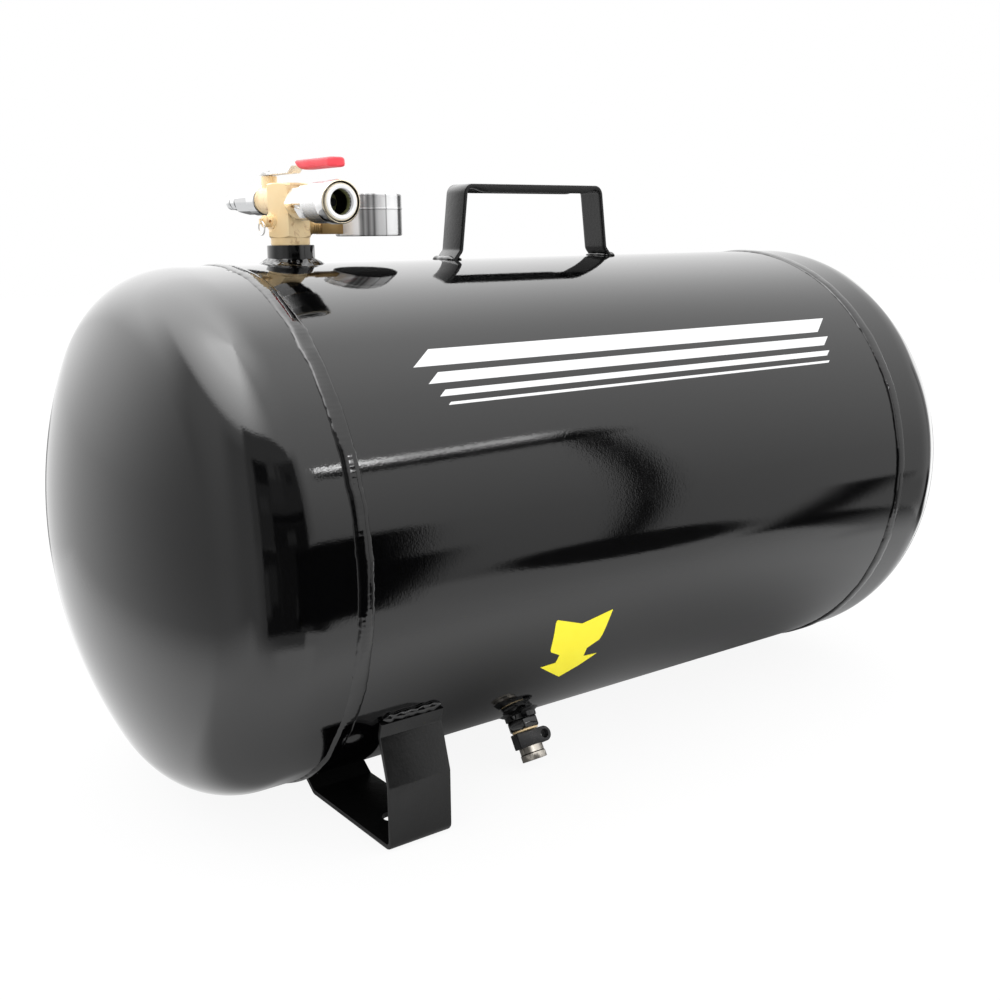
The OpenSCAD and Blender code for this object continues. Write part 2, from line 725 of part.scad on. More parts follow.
lever_z = tower_h + 0.5;
shoulder_t = 1.6;
module valve_stem() color(steel) on_riser() translate([0, ball_y, valve_h]) {
    intersection() {
        translate([-tang_w / 2, -ball_d / 2, ball_d / 2 - tang_depth])
            cube([tang_w, ball_d, tang_depth + shoulder_bore_h - shoulder_t - ball_d / 2]);
        cylinder(d = stem_shoulder_d - 2 * run_fit, h = tower_h);
    }
    translate([0, 0, shoulder_bore_h - shoulder_t]) cylinder(d = stem_shoulder_d, h = shoulder_t - slip);
    translate([0, 0, shoulder_bore_h - slip - cut]) cylinder(d = stem_d, h = lever_z - shoulder_bore_h + slip + cut);
    cylinder_top = lever_z + lever_t;
    translate([0, 0, lever_z - cut]) cylinder(d = stem_d * 0.7, h = lever_t + cut);
    translate([0, 0, cylinder_top]) cylinder(d = rivet_d, h = rivet_h);
}

// Side view of the lever, with the stem at the start and the grip at the far end
module lever_side() {
    mid = lever_z + lever_t / 2;
    line = bent_line([[-lever_eye_d / 2, mid], [crank_start, mid],
        [crank_start + crank_run, mid + crank_rise], [lever_reach - cut, mid + crank_rise]],
        [lever_t * 2, lever_t * 2]);
    strap(line, lever_t);
}

// The lever with its rounded ends, before its hole is made
module lever_blank() intersection() {
    translate([lever_eye_d / 2, 0, 0]) rotate([90, 0, -90]) linear_extrude(height = lever_eye_d)
        lever_side();
    union() {
        cylinder(d = lever_eye_d, h = tower_h * 2);
        translate([-lever_w / 2, lever_w / 2 - lever_reach, 0])
            cube([lever_w, lever_reach - lever_w / 2, tower_h * 2]);
        translate([0, lever_w / 2 - lever_reach + cut, 0]) cylinder(d = lever_w, h = tower_h * 2);
    }
}

module lever() color(steel) on_riser() translate([0, ball_y, valve_h]) difference() {
    lever_blank();
    cylinder(d = stem_d * 0.7, h = tower_h * 2);
}

module lever_grip() color(red_vinyl) on_riser() translate([0, ball_y, valve_h]) difference() {
    mid = lever_z + lever_t / 2 + crank_rise;
    grip_start = lever_reach - grip_len;
    low = mid - grip_t / 2;
    soft = grip_t * 0.3;
    intersection() {
        translate([grip_w / 2, 0, 0]) rotate([90, 0, -90]) linear_extrude(height = grip_w)
            polygon([[grip_start, low + grip_t], [grip_start + grip_slant, low], [lever_reach - soft, low],
                [lever_reach, low + soft], [lever_reach, low + grip_t - soft],
                [lever_reach - soft, low + grip_t]]);
        union() {
            translate([-grip_w / 2, grip_w / 2 - lever_reach, 0])
                cube([grip_w, lever_reach, tower_h * 2]);
            translate([0, grip_w / 2 - lever_reach, 0]) cylinder(d = grip_w, h = tower_h * 2);
        }
    }
    lever_blank();
}

// ---- Inlet plug ----

plug_start = housing_end;
plug_hex_start = plug_start + skirt_len;
plug_hex_end = plug_hex_start + plug_hex_len;
collar_start = plug_hex_end + rear_groove_w;
nose_start = collar_start + plug_collar_len + front_groove_w;
nose_end = nose_start + plug_nose_len;
plug_corner = plug_af / 2 / cos(30);
plug_edge = 0.6;

module inlet_plug() color(chrome) on_riser() translate([0, 0, valve_h]) facing_back() difference() {
    union() {
        rotate_extrude() polygon([[0, plug_start], [housing_d / 2, plug_start],
            [skirt_d / 2, plug_start + plug_edge], [skirt_d / 2, plug_hex_start - plug_edge],
            [skirt_d / 2 - plug_edge, plug_hex_start], [plug_groove_d / 2, plug_hex_start],
            [plug_groove_d / 2, collar_start], [plug_collar_d / 2 - plug_edge, collar_start],
            [plug_collar_d / 2, collar_start + plug_edge],
            [plug_collar_d / 2, collar_start + plug_collar_len - plug_edge],
            [plug_collar_d / 2 - plug_edge, collar_start + plug_collar_len],
            [plug_groove_d / 2, collar_start + plug_collar_len], [plug_groove_d / 2, nose_start],
            [plug_nose_d / 2, nose_start], [plug_nose_d / 2, nose_end - plug_edge],
            [plug_nose_d / 2 - plug_edge, nose_end], [0, nose_end]]);
        intersection() {
            translate([0, 0, plug_hex_start - plug_edge]) rotate([0, 0, 30])
                cylinder(r = plug_corner, h = plug_hex_len + plug_edge, $fn = 6);
            rotate_extrude() polygon([[0, 0], [plug_corner, 0], [plug_corner, plug_hex_end - plug_cone_len],
                [plug_groove_d / 2 + plug_edge, plug_hex_end], [0, plug_hex_end]]);
        }
    }
    translate([0, 0, plug_start - cut]) cylinder(d = quarter_thread_d, h = housing_thread_len + cut);
    cylinder(d = plug_bore_d, h = nose_end + cut);
}

// ---- Quick coupler ----

module on_coupler() on_riser() translate([0, -riser_flat, coupler_h]) facing_front() children();

sleeve_end = coupler_len - 0.5;
socket_floor = coupler_len - socket_depth;
seal_back = socket_floor - seal_t;
shank_d = nose_d;
stop_collar_d = 18.8;
stop_collar_t = 1.7;
sleeve_wall_t = 2.5;
stop_collar_z = sleeve_start + sleeve_wall_t + slip;
valve_chamber_d = 11.4;
valve_chamber_start = coupler_hex_len + 1;
lock_z = coupler_len - lock_ball_depth;
lock_r = socket_d / 2 - 0.5 + lock_ball_d / 2;
lock_hole_d = lock_ball_d + 2 * slip;

module coupler_body() color(chrome) on_coupler() difference() {
    union() {
        hex_bar(coupler_af, coupler_hex_len, riser_chamfer);
        translate([0, 0, -port_depth]) cylinder(d = quarter_thread_d, h = port_depth + cut);
        cylinder(d = nose_d, h = coupler_len);
        translate([0, 0, stop_collar_z]) cylinder(d = stop_collar_d, h = stop_collar_t);
        translate([0, 0, coupler_len - mouth_flange_t]) cylinder(d = mouth_flange_d, h = mouth_flange_t);
    }
    translate([0, 0, -port_depth - cut]) cylinder(d = plug_bore_d, h = coupler_len);
    translate([0, 0, valve_chamber_start]) cylinder(d = valve_chamber_d, h = seal_back - valve_chamber_start);
    translate([0, 0, seal_back - cut / 2]) cylinder(d = valve_chamber_d, h = cut);
    translate([0, 0, seal_back]) cylinder(d = socket_d, h = coupler_len);
    translate([0, 0, coupler_len - lead_in_len]) cylinder(d = lead_in_d, h = coupler_len);
    for (i = [0:lock_ball_count - 1]) rotate([0, 0, (i + 0.5) * 360 / lock_ball_count])
        translate([socket_d / 2 - cut, 0, lock_z]) rotate([0, 90, 0]) cylinder(d = lock_hole_d, h = nose_d / 2);
}

// The land over the balls is the narrow part of the sleeve's inside
land_d = 2 * (lock_r + lock_ball_d / 2 + run_fit);
land_start = lock_z - lock_ball_d * 0.6;
land_end = lock_z + lock_ball_d * 0.55;
// The rib behind the land guides the sleeve and is the seat of its spring
spring_seat = land_start - 1.5;
spring_room_d = 19.9;
sleeve_edge = 0.5;

module coupler_sleeve() color(chrome) on_coupler() rotate_extrude() polygon([
    [shank_d / 2 + run_fit, sleeve_start], [knurl_d / 2 - sleeve_edge, sleeve_start],
    [knurl_d / 2, sleeve_start + sleeve_edge], [knurl_d / 2, sleeve_start + knurl_len],
    [sleeve_d / 2, sleeve_start + knurl_len + cut], [sleeve_d / 2, sleeve_end - sleeve_edge],
    [sleeve_d / 2 - sleeve_edge, sleeve_end], [mouth_flange_d / 2 + slip, sleeve_end],
    [mouth_flange_d / 2 + slip, land_end + cut], [land_d / 2, land_end],
    [land_d / 2, land_start], [shank_d / 2 + run_fit, land_start],
    [shank_d / 2 + run_fit, spring_seat], [spring_room_d / 2, spring_seat],
    [spring_room_d / 2, sleeve_start + sleeve_wall_t],
    [shank_d / 2 + run_fit, sleeve_start + sleeve_wall_t]]);

// Each spring stands on its fixed seat and has the length that its joint leaves it at full travel
sleeve_spring_turns = 7;
sleeve_spring_z = stop_collar_z + stop_collar_t;
module sleeve_spring() color(steel) on_coupler() translate([0, 0, sleeve_spring_z])
    coil((spring_room_d + nose_d) / 2, sleeve_wire_d,
        spring_seat - sleeve_travel - slip - sleeve_spring_z, sleeve_spring_turns);

module lock_balls() color(steel) on_coupler() for (i = [0:lock_ball_count - 1])
    rotate([0, 0, (i + 0.5) * 360 / lock_ball_count]) translate([lock_r, 0, lock_z])
        sphere(d = lock_ball_d);

seal_hole_d = 9;
module coupler_seal() color(seal_green) on_coupler() translate([0, 0, seal_back])
    tube(socket_d, seal_hole_d, seal_t);

poppet_head_t = 2.2;
poppet_z = seal_back - slip - poppet_head_t;
module coupler_poppet() color(brass) on_coupler() translate([0, 0, poppet_z]) {
    cylinder(d = poppet_d, h = poppet_head_t);
    cylinder(d = poppet_stem_d, h = poppet_head_t + poppet_stem_len);
}

poppet_spring_turns = 5;
module poppet_spring() color(steel) on_coupler() translate([0, 0, valve_chamber_start])
    coil(poppet_d - 2 * poppet_wire_d, poppet_wire_d,
        poppet_z - poppet_travel - slip - valve_chamber_start, poppet_spring_turns);

// ---- Gauge ----

module on_gauge() on_riser() translate([gauge_reach, 0, gauge_h - gauge_socket_h]) children();

gauge_r = gauge_d / 2;
gauge_top = case_h + bezel_h;
lens_z = gauge_top - gauge_wall - lens_t;
case_rim = gauge_r - gauge_wall;
case_top = lens_z;
dial_t = 0.4;
dial_z = lens_z - 4.2;
case_edge = 1;

// A pressed cup that the bezel slides over
module gauge_case() color(chrome) on_gauge() difference() {
    rotate_extrude() polygon([[0, 0], [gauge_r - case_edge, 0], [gauge_r - case_edge * 0.3, case_edge * 0.3],
        [gauge_r, case_edge], [gauge_r, case_h], [case_rim, case_h], [case_rim, case_top],
        [case_rim - gauge_wall, case_top], [case_rim - gauge_wall, gauge_wall], [0, gauge_wall]]);
    translate([0, 0, gauge_socket_h]) facing_left() translate([0, 0, case_rim / 2])
        cylinder(d = socket_neck_d, h = gauge_r);
}

// The bezel holds the lens and hides the case's rim
module gauge_bezel() color(chrome) on_gauge() rotate_extrude() polygon([
    [case_rim, case_h], [gauge_r + bezel_bead, case_h], [gauge_r + bezel_bead, case_h + gauge_wall],
    [gauge_r, case_h + 2 * gauge_wall], [gauge_r, gauge_top - 2 * gauge_wall],
    [gauge_r - gauge_wall * 0.6, gauge_top - gauge_wall * 0.6], [gauge_r - 2 * gauge_wall, gauge_top],
    [window_d / 2, gauge_top], [window_d / 2, lens_z + lens_t], [case_rim, lens_z + lens_t]]);

module gauge_lens() color(clear_glass) on_gauge() translate([0, 0, lens_z])
    cylinder(r = case_rim, h = lens_t);

module gauge_gasket() color(dark_rubber) on_gauge() translate([0, 0, dial_z + dial_t])
    tube(2 * (case_rim - gauge_wall), window_d + gauge_wall, lens_z - dial_z - dial_t);

module gauge_dial() color(dial_white) on_gauge() translate([0, 0, dial_z])
    tube(2 * (case_rim - gauge_wall), pointer_shaft_d + 4 * slip, dial_t);

plate_t = 1.2;
lower_plate_z = 9.6;
upper_plate_z = dial_z - 1.6 - plate_t;
pointer_hub_d = 3.2;
pointer_w = 1.6;
pointer_t = 0.5;
pointer_z = dial_z + dial_t + 1;
needle_rest_angle = 225;
module gauge_pointer() color(dark_rubber) on_gauge() {
    translate([0, 0, lower_plate_z]) cylinder(d = pointer_shaft_d, h = pointer_z - lower_plate_z);
    translate([0, 0, pointer_z]) cylinder(d = pointer_hub_d, h = 2 * pointer_t);
    translate([0, 0, pointer_z]) rotate([0, 0, needle_rest_angle]) linear_extrude(height = pointer_t)
        polygon([[-pointer_len * 0.35, pointer_w / 2], [pointer_len - pointer_w, pointer_w / 4],
            [pointer_len, 0], [pointer_len - pointer_w, -pointer_w / 4], [-pointer_len * 0.35, -pointer_w / 2]]);
}

socket_neck_d = 7.4;
socket_block_end = 5;
rib_count = 5;
module gauge_socket() color(brass) on_riser() translate([0, 0, gauge_h]) difference() {
    rib = gauge_thread_show / rib_count;
    square_start = port_face + gauge_thread_show;
    union() {
        difference() {
            translate([square_start, -gauge_socket_w / 2, -gauge_socket_w / 2])
                cube([gauge_reach - socket_block_end - square_start, gauge_socket_w, gauge_socket_w]);
            translate([gauge_reach, 0, -gauge_r]) tube(gauge_d, gauge_d - 4 * gauge_wall, gauge_d);
        }
        facing_right() {
            translate([0, 0, port_face - port_depth]) cylinder(d = eighth_thread_d, h = port_depth);
            for (i = [0:rib_count - 1]) translate([0, 0, port_face + i * rib]) rotate_extrude()
                polygon([[0, 0], [socket_neck_d / 2 - slip, 0], [socket_neck_d / 2, rib / 2],
                    [socket_neck_d / 2 - slip, rib], [0, rib]]);
            translate([0, 0, gauge_reach - gauge_r - cut])
                cylinder(d = socket_neck_d, h = 2 * gauge_wall + 2 * cut);
        }
    }
    facing_right() cylinder(d = relief_way_d * 0.6, h = gauge_reach - socket_block_end - 3);
}

pillar_d = 1.8;
pillar_r = 3;
module gauge_movement() color(brass) on_gauge() {
    stand_z = gauge_socket_h + gauge_socket_w / 2;
    difference() {
        union() {
            for (z = [lower_plate_z, upper_plate_z]) translate([-pillar_r, 0, z])
                cylinder(d = 4 * pillar_r, h = plate_t);
            for (side = [-1, 1]) translate([-2 * pillar_r - pillar_d / 2, side * pillar_r / 2, stand_z])
                cylinder(d = pillar_d, h = upper_plate_z - stand_z + plate_t);
        }
        translate([0, 0, stand_z]) cylinder(d = pointer_shaft_d + 2 * run_fit, h = dial_z);
    }
}

// A flattened tube, curved round the case, with its root at the socket
tube_angle = 255;
tube_start = 180;
tube_w = 1.6;
tube_h = 4;
module pressure_tube() color(brass) on_gauge() difference() {
    translate([0, 0, gauge_socket_h - tube_h / 2]) rotate([0, 0, tube_start])
        rotate_extrude(angle = tube_angle) translate([tube_r - tube_w / 2, 0]) square([tube_w, tube_h]);
    translate([-gauge_r, -gauge_socket_w / 2, 0]) cube([gauge_r, gauge_socket_w, gauge_r]);
}

// ---- Relief valve ----

module on_relief() on_riser() translate([0, 0, relief_h]) facing_left() children();

relief_room_d = 7.2;
relief_floor_t = 1.2;
relief_room_start = relief_seat_x + relief_floor_t;
relief_room_end = port_face - 1;
relief_head_d = 6.4;
relief_head_t = 1.2;
relief_head_z = relief_room_start + slip;
relief_stub_end = port_face + relief_stub_len;
cap_z = relief_stub_end + slip;
eye_w = 3;
eye_t = 1.2;
eye_len = 2.4;
ring_hole_d = ring_wire_d + 2 * slip;
ring_x = cap_z + pull_cap_t + eye_len / 2 + 0.1;

module relief_body() color(brass) on_relief() difference() {
    union() {
        translate([0, 0, relief_seat_x]) cylinder(d = eighth_thread_d, h = port_face - relief_seat_x);
        translate([0, 0, port_face]) cylinder(d = relief_stub_d, h = relief_stub_len);
    }
    cylinder(d = relief_way_d, h = relief_room_start + cut);
    translate([0, 0, relief_room_start]) cylinder(d = relief_room_d, h = relief_room_end - relief_room_start);
    cylinder(d = relief_stem_d + 2 * run_fit, h = relief_stub_end + cut);
    translate([0, 0, port_face + relief_stub_len / 2]) rotate([90, 0, 0])
        cylinder(d = relief_stem_d, h = relief_stub_d, center = true);
}

module relief_stem() color(brass) on_relief() difference() {
    union() {
        translate([0, 0, relief_head_z]) cylinder(d = relief_head_d, h = relief_head_t);
        translate([0, 0, relief_head_z]) cylinder(d = relief_stem_d, h = cap_z - relief_head_z + cut);
        translate([0, 0, cap_z]) cylinder(d = pull_cap_d, h = pull_cap_t);
        translate([-eye_w / 2, -eye_t / 2, cap_z]) cube([eye_w, eye_t, pull_cap_t + eye_len]);
    }
    translate([0, 0, ring_x]) rotate([90, 0, 0]) cylinder(d = ring_hole_d, h = eye_w, center = true);
}

relief_spring_turns = 3;
relief_wire_d = 0.6;
relief_spring_z = relief_head_z + relief_head_t + relief_lift + slip;
module relief_spring() color(steel) on_relief() translate([0, 0, relief_spring_z])
    coil(relief_head_d - 2 * relief_wire_d, relief_wire_d, relief_room_end - relief_spring_z,
        relief_spring_turns);

module pull_ring() color(steel) on_riser() translate([-ring_x, 0, relief_h - pull_ring_d / 2])
    facing_right() rotate_extrude() translate([pull_ring_d / 2, 0]) circle(d = ring_wire_d);

// ---- Drain cock ----

drain_bung_top = tank_r + drain_bung_h;
bushing_end = drain_bung_top + bushing_h;
flange_end = bushing_end + drain_flange_t;
tab_start = flange_end + slip;
tab_end = tab_start + tab_h;
spout_end = tab_end + spout_h + spout_rim_h;
needle_start = drain_bung_top;
needle_cone = 2.4;

module drain_bung() color(black_paint) on_drain() translate([0, 0, tank_r - bung_inside])
    tube(drain_bung_d, quarter_thread_d, bung_inside + drain_bung_h);

module drain_bung_weld() color(black_paint) difference() {
    on_drain() bung_fillet(drain_bung_d, drain_weld_w, drain_bung_h * 0.85);
    shell_body();
}

module drain_bushing() color(black_paint) on_drain() difference() {
    union() {
        translate([0, 0, drain_bung_top]) hex_bar(bushing_af, bushing_h, riser_chamfer / 2);
        translate([0, 0, tank_r - bung_inside]) cylinder(d = quarter_thread_d, h = bung_inside + drain_bung_h + cut);
    }
    translate([0, 0, tank_r - bung_inside - cut]) cylinder(d = eighth_thread_d, h = bung_inside + bushing_end);
}

module drain_body() color(brass) on_drain() difference() {
    union() {
        translate([0, 0, tank_r - bung_inside]) cylinder(d = eighth_thread_d, h = bushing_end - tank_r + bung_inside + cut / 2);
        translate([0, 0, bushing_end]) cylinder(d = drain_flange_d, h = drain_flange_t);
    }
    translate([0, 0, tank_r - bung_inside - cut]) cylinder(d = spout_bore_d, h = tank_r);
    translate([0, 0, needle_start - needle_cone]) cylinder(d = needle_d + 2 * run_fit, h = tank_r);
}

// The tab with its eye, which the fingers or a cord turn
module drain_tab() color([0.09, 0.09, 0.1]) on_drain() difference() {
    eye_r = tab_h / 2;
    union() {
        translate([-tab_short, -tab_t / 2, tab_start]) cube([tab_short + eye_x, tab_t, tab_h]);
        translate([eye_x, 0, tab_start + eye_r]) rotate([90, 0, 0])
            cylinder(r = eye_r, h = tab_t, center = true);
    }
    translate([eye_x, 0, tab_start + eye_r]) rotate([90, 0, 0])
        cylinder(d = eye_hole_d, h = tab_t + 2 * cut, center = true);
    translate([0, 0, tab_start - cut]) cylinder(d = needle_d, h = tab_h + 2 * cut);
}

module drain_spout() color(spout_nickel) on_drain() difference() {
    union() {
        translate([0, 0, needle_start]) cylinder(d = needle_d, h = tab_end - needle_start + cut / 2);
        translate([0, 0, needle_start - needle_cone + slip]) cylinder(d1 = spout_bore_d, d2 = needle_d, h = needle_cone - slip);
        translate([0, 0, tab_end]) cylinder(d = spout_d, h = spout_h);
        translate([0, 0, tab_end + spout_h]) cylinder(d = spout_rim_d, h = spout_rim_h);
    }
    translate([0, 0, needle_start + needle_cone]) cylinder(d = spout_bore_d, h = spout_end);
    translate([0, 0, needle_start + needle_cone + spout_bore_d / 2]) rotate([90, 0, 0])
        cylinder(d = spout_bore_d * 0.6, h = needle_d + cut, center = true);
}

shell();
left_head();
right_head();
left_girth_weld();
right_girth_weld();
carry_handle();
handle_welds();
front_foot();
rear_foot();
foot_welds();
outlet_bung();
outlet_bung_weld();
riser_body();
ball_seats();
seat_retainer();
stem_packing();
packing_gland();
valve_ball();
valve_stem();
lever();
lever_grip();
inlet_plug();
coupler_body();
coupler_sleeve();
sleeve_spring();
lock_balls();
coupler_seal();
coupler_poppet();
poppet_spring();
gauge_socket();
gauge_case();
gauge_bezel();
gauge_lens();
gauge_gasket();
gauge_dial();
gauge_pointer();
gauge_movement();
pressure_tube();
relief_body();
relief_stem();
relief_spring();
pull_ring();
drain_bung();
drain_bung_weld();
drain_bushing();
drain_body();
drain_tab();
drain_spout();
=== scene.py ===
from math import atan2, copysign, cos, degrees, pi, radians, sin, sqrt, tan

import bmesh
import bpy
from mathutils import Matrix, Vector, noise


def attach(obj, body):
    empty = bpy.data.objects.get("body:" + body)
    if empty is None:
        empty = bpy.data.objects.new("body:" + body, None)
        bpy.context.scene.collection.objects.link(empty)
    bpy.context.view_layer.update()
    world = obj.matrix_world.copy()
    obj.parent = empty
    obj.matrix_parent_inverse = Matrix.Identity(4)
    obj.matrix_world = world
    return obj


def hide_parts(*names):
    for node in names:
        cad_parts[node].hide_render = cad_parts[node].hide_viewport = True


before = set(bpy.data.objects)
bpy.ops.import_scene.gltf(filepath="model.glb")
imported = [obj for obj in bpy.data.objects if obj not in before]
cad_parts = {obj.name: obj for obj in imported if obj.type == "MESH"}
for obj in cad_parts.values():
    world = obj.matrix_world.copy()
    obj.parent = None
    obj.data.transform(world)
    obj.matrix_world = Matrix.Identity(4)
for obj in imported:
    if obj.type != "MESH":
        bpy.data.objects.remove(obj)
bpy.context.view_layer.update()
scene = bpy.context.scene
scene.view_settings.view_transform = "Standard"

# -------------------- Camera and studio
# The tank is seen from its riser end, from a little above its axis, through a short lens.
# A white tent stands round it, with a dark opening on the viewer's side and a large lamp overhead.


def in_scene(name, data):
    """An object of that mesh, camera or text, put into the scene."""
    made = bpy.data.objects.new(name, data)
    scene.collection.objects.link(made)
    return made


camera_data = bpy.data.cameras.new("camera")
camera_data.lens, camera_data.sensor_width, camera_data.clip_end = 43.516, 36.0, 20.0
camera = in_scene("camera", camera_data)
scene.camera = camera
turn, pitch, roll = radians(-36.523), radians(12.605), radians(-0.583)
ahead = Vector((-sin(turn) * cos(pitch), cos(turn) * cos(pitch), -sin(pitch)))
level = Vector((cos(turn), sin(turn), 0))
upright = level.cross(ahead)
right = level * cos(roll) + upright * sin(roll)
up = upright * cos(roll) - level * sin(roll)
camera.matrix_world = Matrix((right, up, -ahead)).transposed().to_4x4()
camera.location = (-0.4969, -0.6437, 0.3268)


class Value:
    """What comes out of a node. Adding, multiplying and so on puts the nodes for it into the tree."""

    def __init__(self, tree, socket):
        self.tree, self.socket = tree, socket

    def __add__(self, other):
        return self.tree.math("ADD", self, other)

    def __sub__(self, other):
        return self.tree.math("SUBTRACT", self, other)

    def __mul__(self, other):
        return self.tree.math("MULTIPLY", self, other)

    def __truediv__(self, other):
        return self.tree.math("DIVIDE", self, other)


def colour(value):
    """A colour with its alpha, from three numbers or from one grey level."""
    if isinstance(value, (int, float)):
        value = (value, value, value)
    return (*value, 1) if isinstance(value, tuple) else value


class Tree:
    """A node tree that is filled in by plain calls."""

    def __init__(self, tree):
        self.tree = tree

    def put(self, socket, value):
        value = getattr(value, "socket", value)
        if isinstance(value, bpy.types.NodeSocket):
            self.tree.links.new(value, socket)
        elif value is not None:
            socket.default_value = value

    def add(self, kind, *values, **settings):
        """Adds a node with those settings, and puts the values into its inputs in turn."""
        node = self.tree.nodes.new(kind)
        for name, setting in settings.items():
            setattr(node, name, setting)
        for socket, value in zip(node.inputs, values):
            self.put(socket, value)
        return node

    def math(self, operation, *values):
        return Value(self, self.add("ShaderNodeMath", *values, operation=operation).outputs[0])

    def rise(self, value, low, high, first=0.0, last=1.0):
        """Goes smoothly from first to last as the value goes from low to high."""
        node = self.add("ShaderNodeMapRange", value, low, high, first, last, interpolation_type="SMOOTHSTEP")
        return Value(self, node.outputs[0])

    def between(self, value, low, high, soft):
        """1 inside the band from low to high, 0 outside, with soft edges."""
        return self.rise(value, low - soft, low + soft) * self.rise(value, high - soft, high + soft, 1.0, 0.0)

    def mix(self, share, a, b):
        """A colour that goes from a to b as the share goes from 0 to 1."""
        node = self.add("ShaderNodeMix", share, data_type="RGBA")
        self.put(node.inputs[6], colour(a))
        self.put(node.inputs[7], colour(b))
        return Value(self, node.outputs[2])

    def blend(self, a, b, share):
        """A plain number that goes from a to b as the share goes from 0 to 1."""
        return Value(self, self.add("ShaderNodeMix", share, None, a, b, data_type="FLOAT").outputs[0])

    def ramp(self, value, *stops):
        """A colour or grey level that passes through those at its stops."""
        node = self.add("ShaderNodeValToRGB", value)
        elements = node.color_ramp.elements
        while len(elements) < len(stops):
            elements.new(0.5)
        for element, (place, tone) in zip(elements, stops):
            element.position, element.color = place, colour(tone)
        return Value(self, node.outputs[0])

    def layer(self, share, under, over):
        """One shader over another, by that share."""
        return self.add("ShaderNodeMixShader", share, under.outputs[0], over.outputs[0])

    def split(self, vector):
        """X, Y and Z of a vector."""
        return [Value(self, socket) for socket in self.add("ShaderNodeSeparateXYZ", vector).outputs]

    def place(self, kind="Object"):
        """Points on the object itself, in metres."""
        return self.add("ShaderNodeTexCoord").outputs[kind]

    def rays(self):
        """1 for what the camera itself sees, and 1 for what a glossy or clear surface sees."""
        kinds = self.add("ShaderNodeLightPath").outputs
        return (Value(self, kinds["Is Camera Ray"]),
            self.math("MAXIMUM", kinds["Is Glossy Ray"], kinds["Is Transmission Ray"]))


world = bpy.data.worlds.new("studio")
scene.world = world
world.use_nodes = True
world.node_tree.nodes.clear()
tent = Tree(world.node_tree)
x, y, z = tent.split(tent.place("Generated"))
height = tent.math("ARCSINE", z) * (180 / pi)
side = tent.math("ARCTAN2", x, y * -1.0) * (180 / pi)

# The tent's brightness from floor to roof: on the riser's side, on the other side and behind
from_floor = (height + 90.0) / 180.0
left_wall = tent.ramp(from_floor, (0.0, 0.113), (0.233, 0.10), (0.30, 0.09), (0.456, 0.083), (0.544, 0.09),
    (0.633, 0.103), (0.745, 0.121), (0.772, 0.40), (0.811, 0.56), (0.856, 0.72), (0.90, 0.90), (1.0, 1.0))
right_wall = tent.ramp(from_floor, (0.0, 0.09), (0.144, 0.10), (0.233, 0.114), (0.322, 0.136), (0.374, 0.12),
    (0.386, 0.079), (0.456, 0.09), (0.50, 0.10), (0.589, 0.133), (0.678, 0.165), (0.767, 0.20), (0.856, 0.26),
    (0.90, 0.33), (1.0, 0.64))
back_wall = tent.ramp(from_floor, (0.0, 0.064), (0.144, 0.057), (0.233, 0.079), (0.30, 0.143), (0.41, 0.157),
    (0.50, 0.186), (0.589, 0.30), (0.678, 0.457), (0.767, 0.53), (0.856, 0.60), (1.0, 0.79))
seen = tent.blend(left_wall, right_wall, tent.rise(side, -42.0, 8.0))
seen = tent.blend(seen, back_wall, tent.rise(side, 85.0, 185.0) + tent.rise(side, -105.0, -155.0))
beside_riser = tent.between(side, -162.0, -96.0, 12.0) * tent.between(height, -24.0, 24.0, 10.0)
seen = seen * tent.blend(7.0, 6.1, beside_riser)
seen = tent.blend(seen, 1.18, tent.between(side, -32.0, 26.0, 10.0) * tent.rise(height, -35.0, -40.0))


def patch(seen, level, left, right, low, high, soft=1.0, side_soft=None, across=side, upward=height):
    """Puts a panel of that brightness into the view, with its place in degrees."""
    mask = tent.between(across, left, right, side_soft or soft) * tent.between(upward, low, high, soft)
    return tent.blend(seen, level, mask)


# The opening towards the viewer: soft grey edges, a grey frame, dark room behind it with shelves, and a
# dark table front
for panel in ((0.50, -70, -36, -36, 40, 5, 10), (0.37, -46, -34, -34, 36, 3, 4), (0.42, 6, 21, 3, 37, 4, 8)):
    seen = patch(seen, *panel)
sink = tent.math("MAXIMUM", side + 20.0, 0.0)
frame_top = height + sink * sink * 0.0073
seen = tent.blend(seen, 0.34, tent.between(side, -46.0, 12.5, 3.0) *
    (tent.rise(frame_top, 49.0, 46.5) * tent.rise(height, -2.0, 6.0)))
for panel in ((0.32, -54, 8, -38.0, -30, 2.6), (0.14, -39, 16, 2, 36, 1.4), (0.04, -37, -22, 27, 35.5, 1.2),
        (0.20, -36, -26, 16, 22, 2), (0.14, -28, -24, 7, 16, 1.6), (0.30, -20, -11, 30, 38, 2),
        (0.17, -20, -6, 20, 29, 2), (0.24, -9, -5, 29, 37, 1.5), (0.08, 1, 9, 27.5, 32, 1.6),
        (0.015, -23.5, 14.5, 12, 16, 0.9), (0.035, -24, 14, 1, 12, 1), (0.14, -9, 1, 4, 9, 1.6),
        (0.04, -39.5, 31, -31.8, 2, 1.1), (0.01, -2, 31.5, -28.5, 1.5, 1.4), (0.01, 24, 33.5, -27.5, -9, 1.4),
        (0.20, -40, -34, -24, -6, 2.5), (0.11, -34, -25, -19, -4, 2), (0.055, -23, -20, -25, 2, 1.2),
        (0.11, -4.4, -1.8, -25.5, -17, 1), (0.18, 2, 18, -31.5, -29.5, 0.9)):
    seen = patch(seen, *panel)

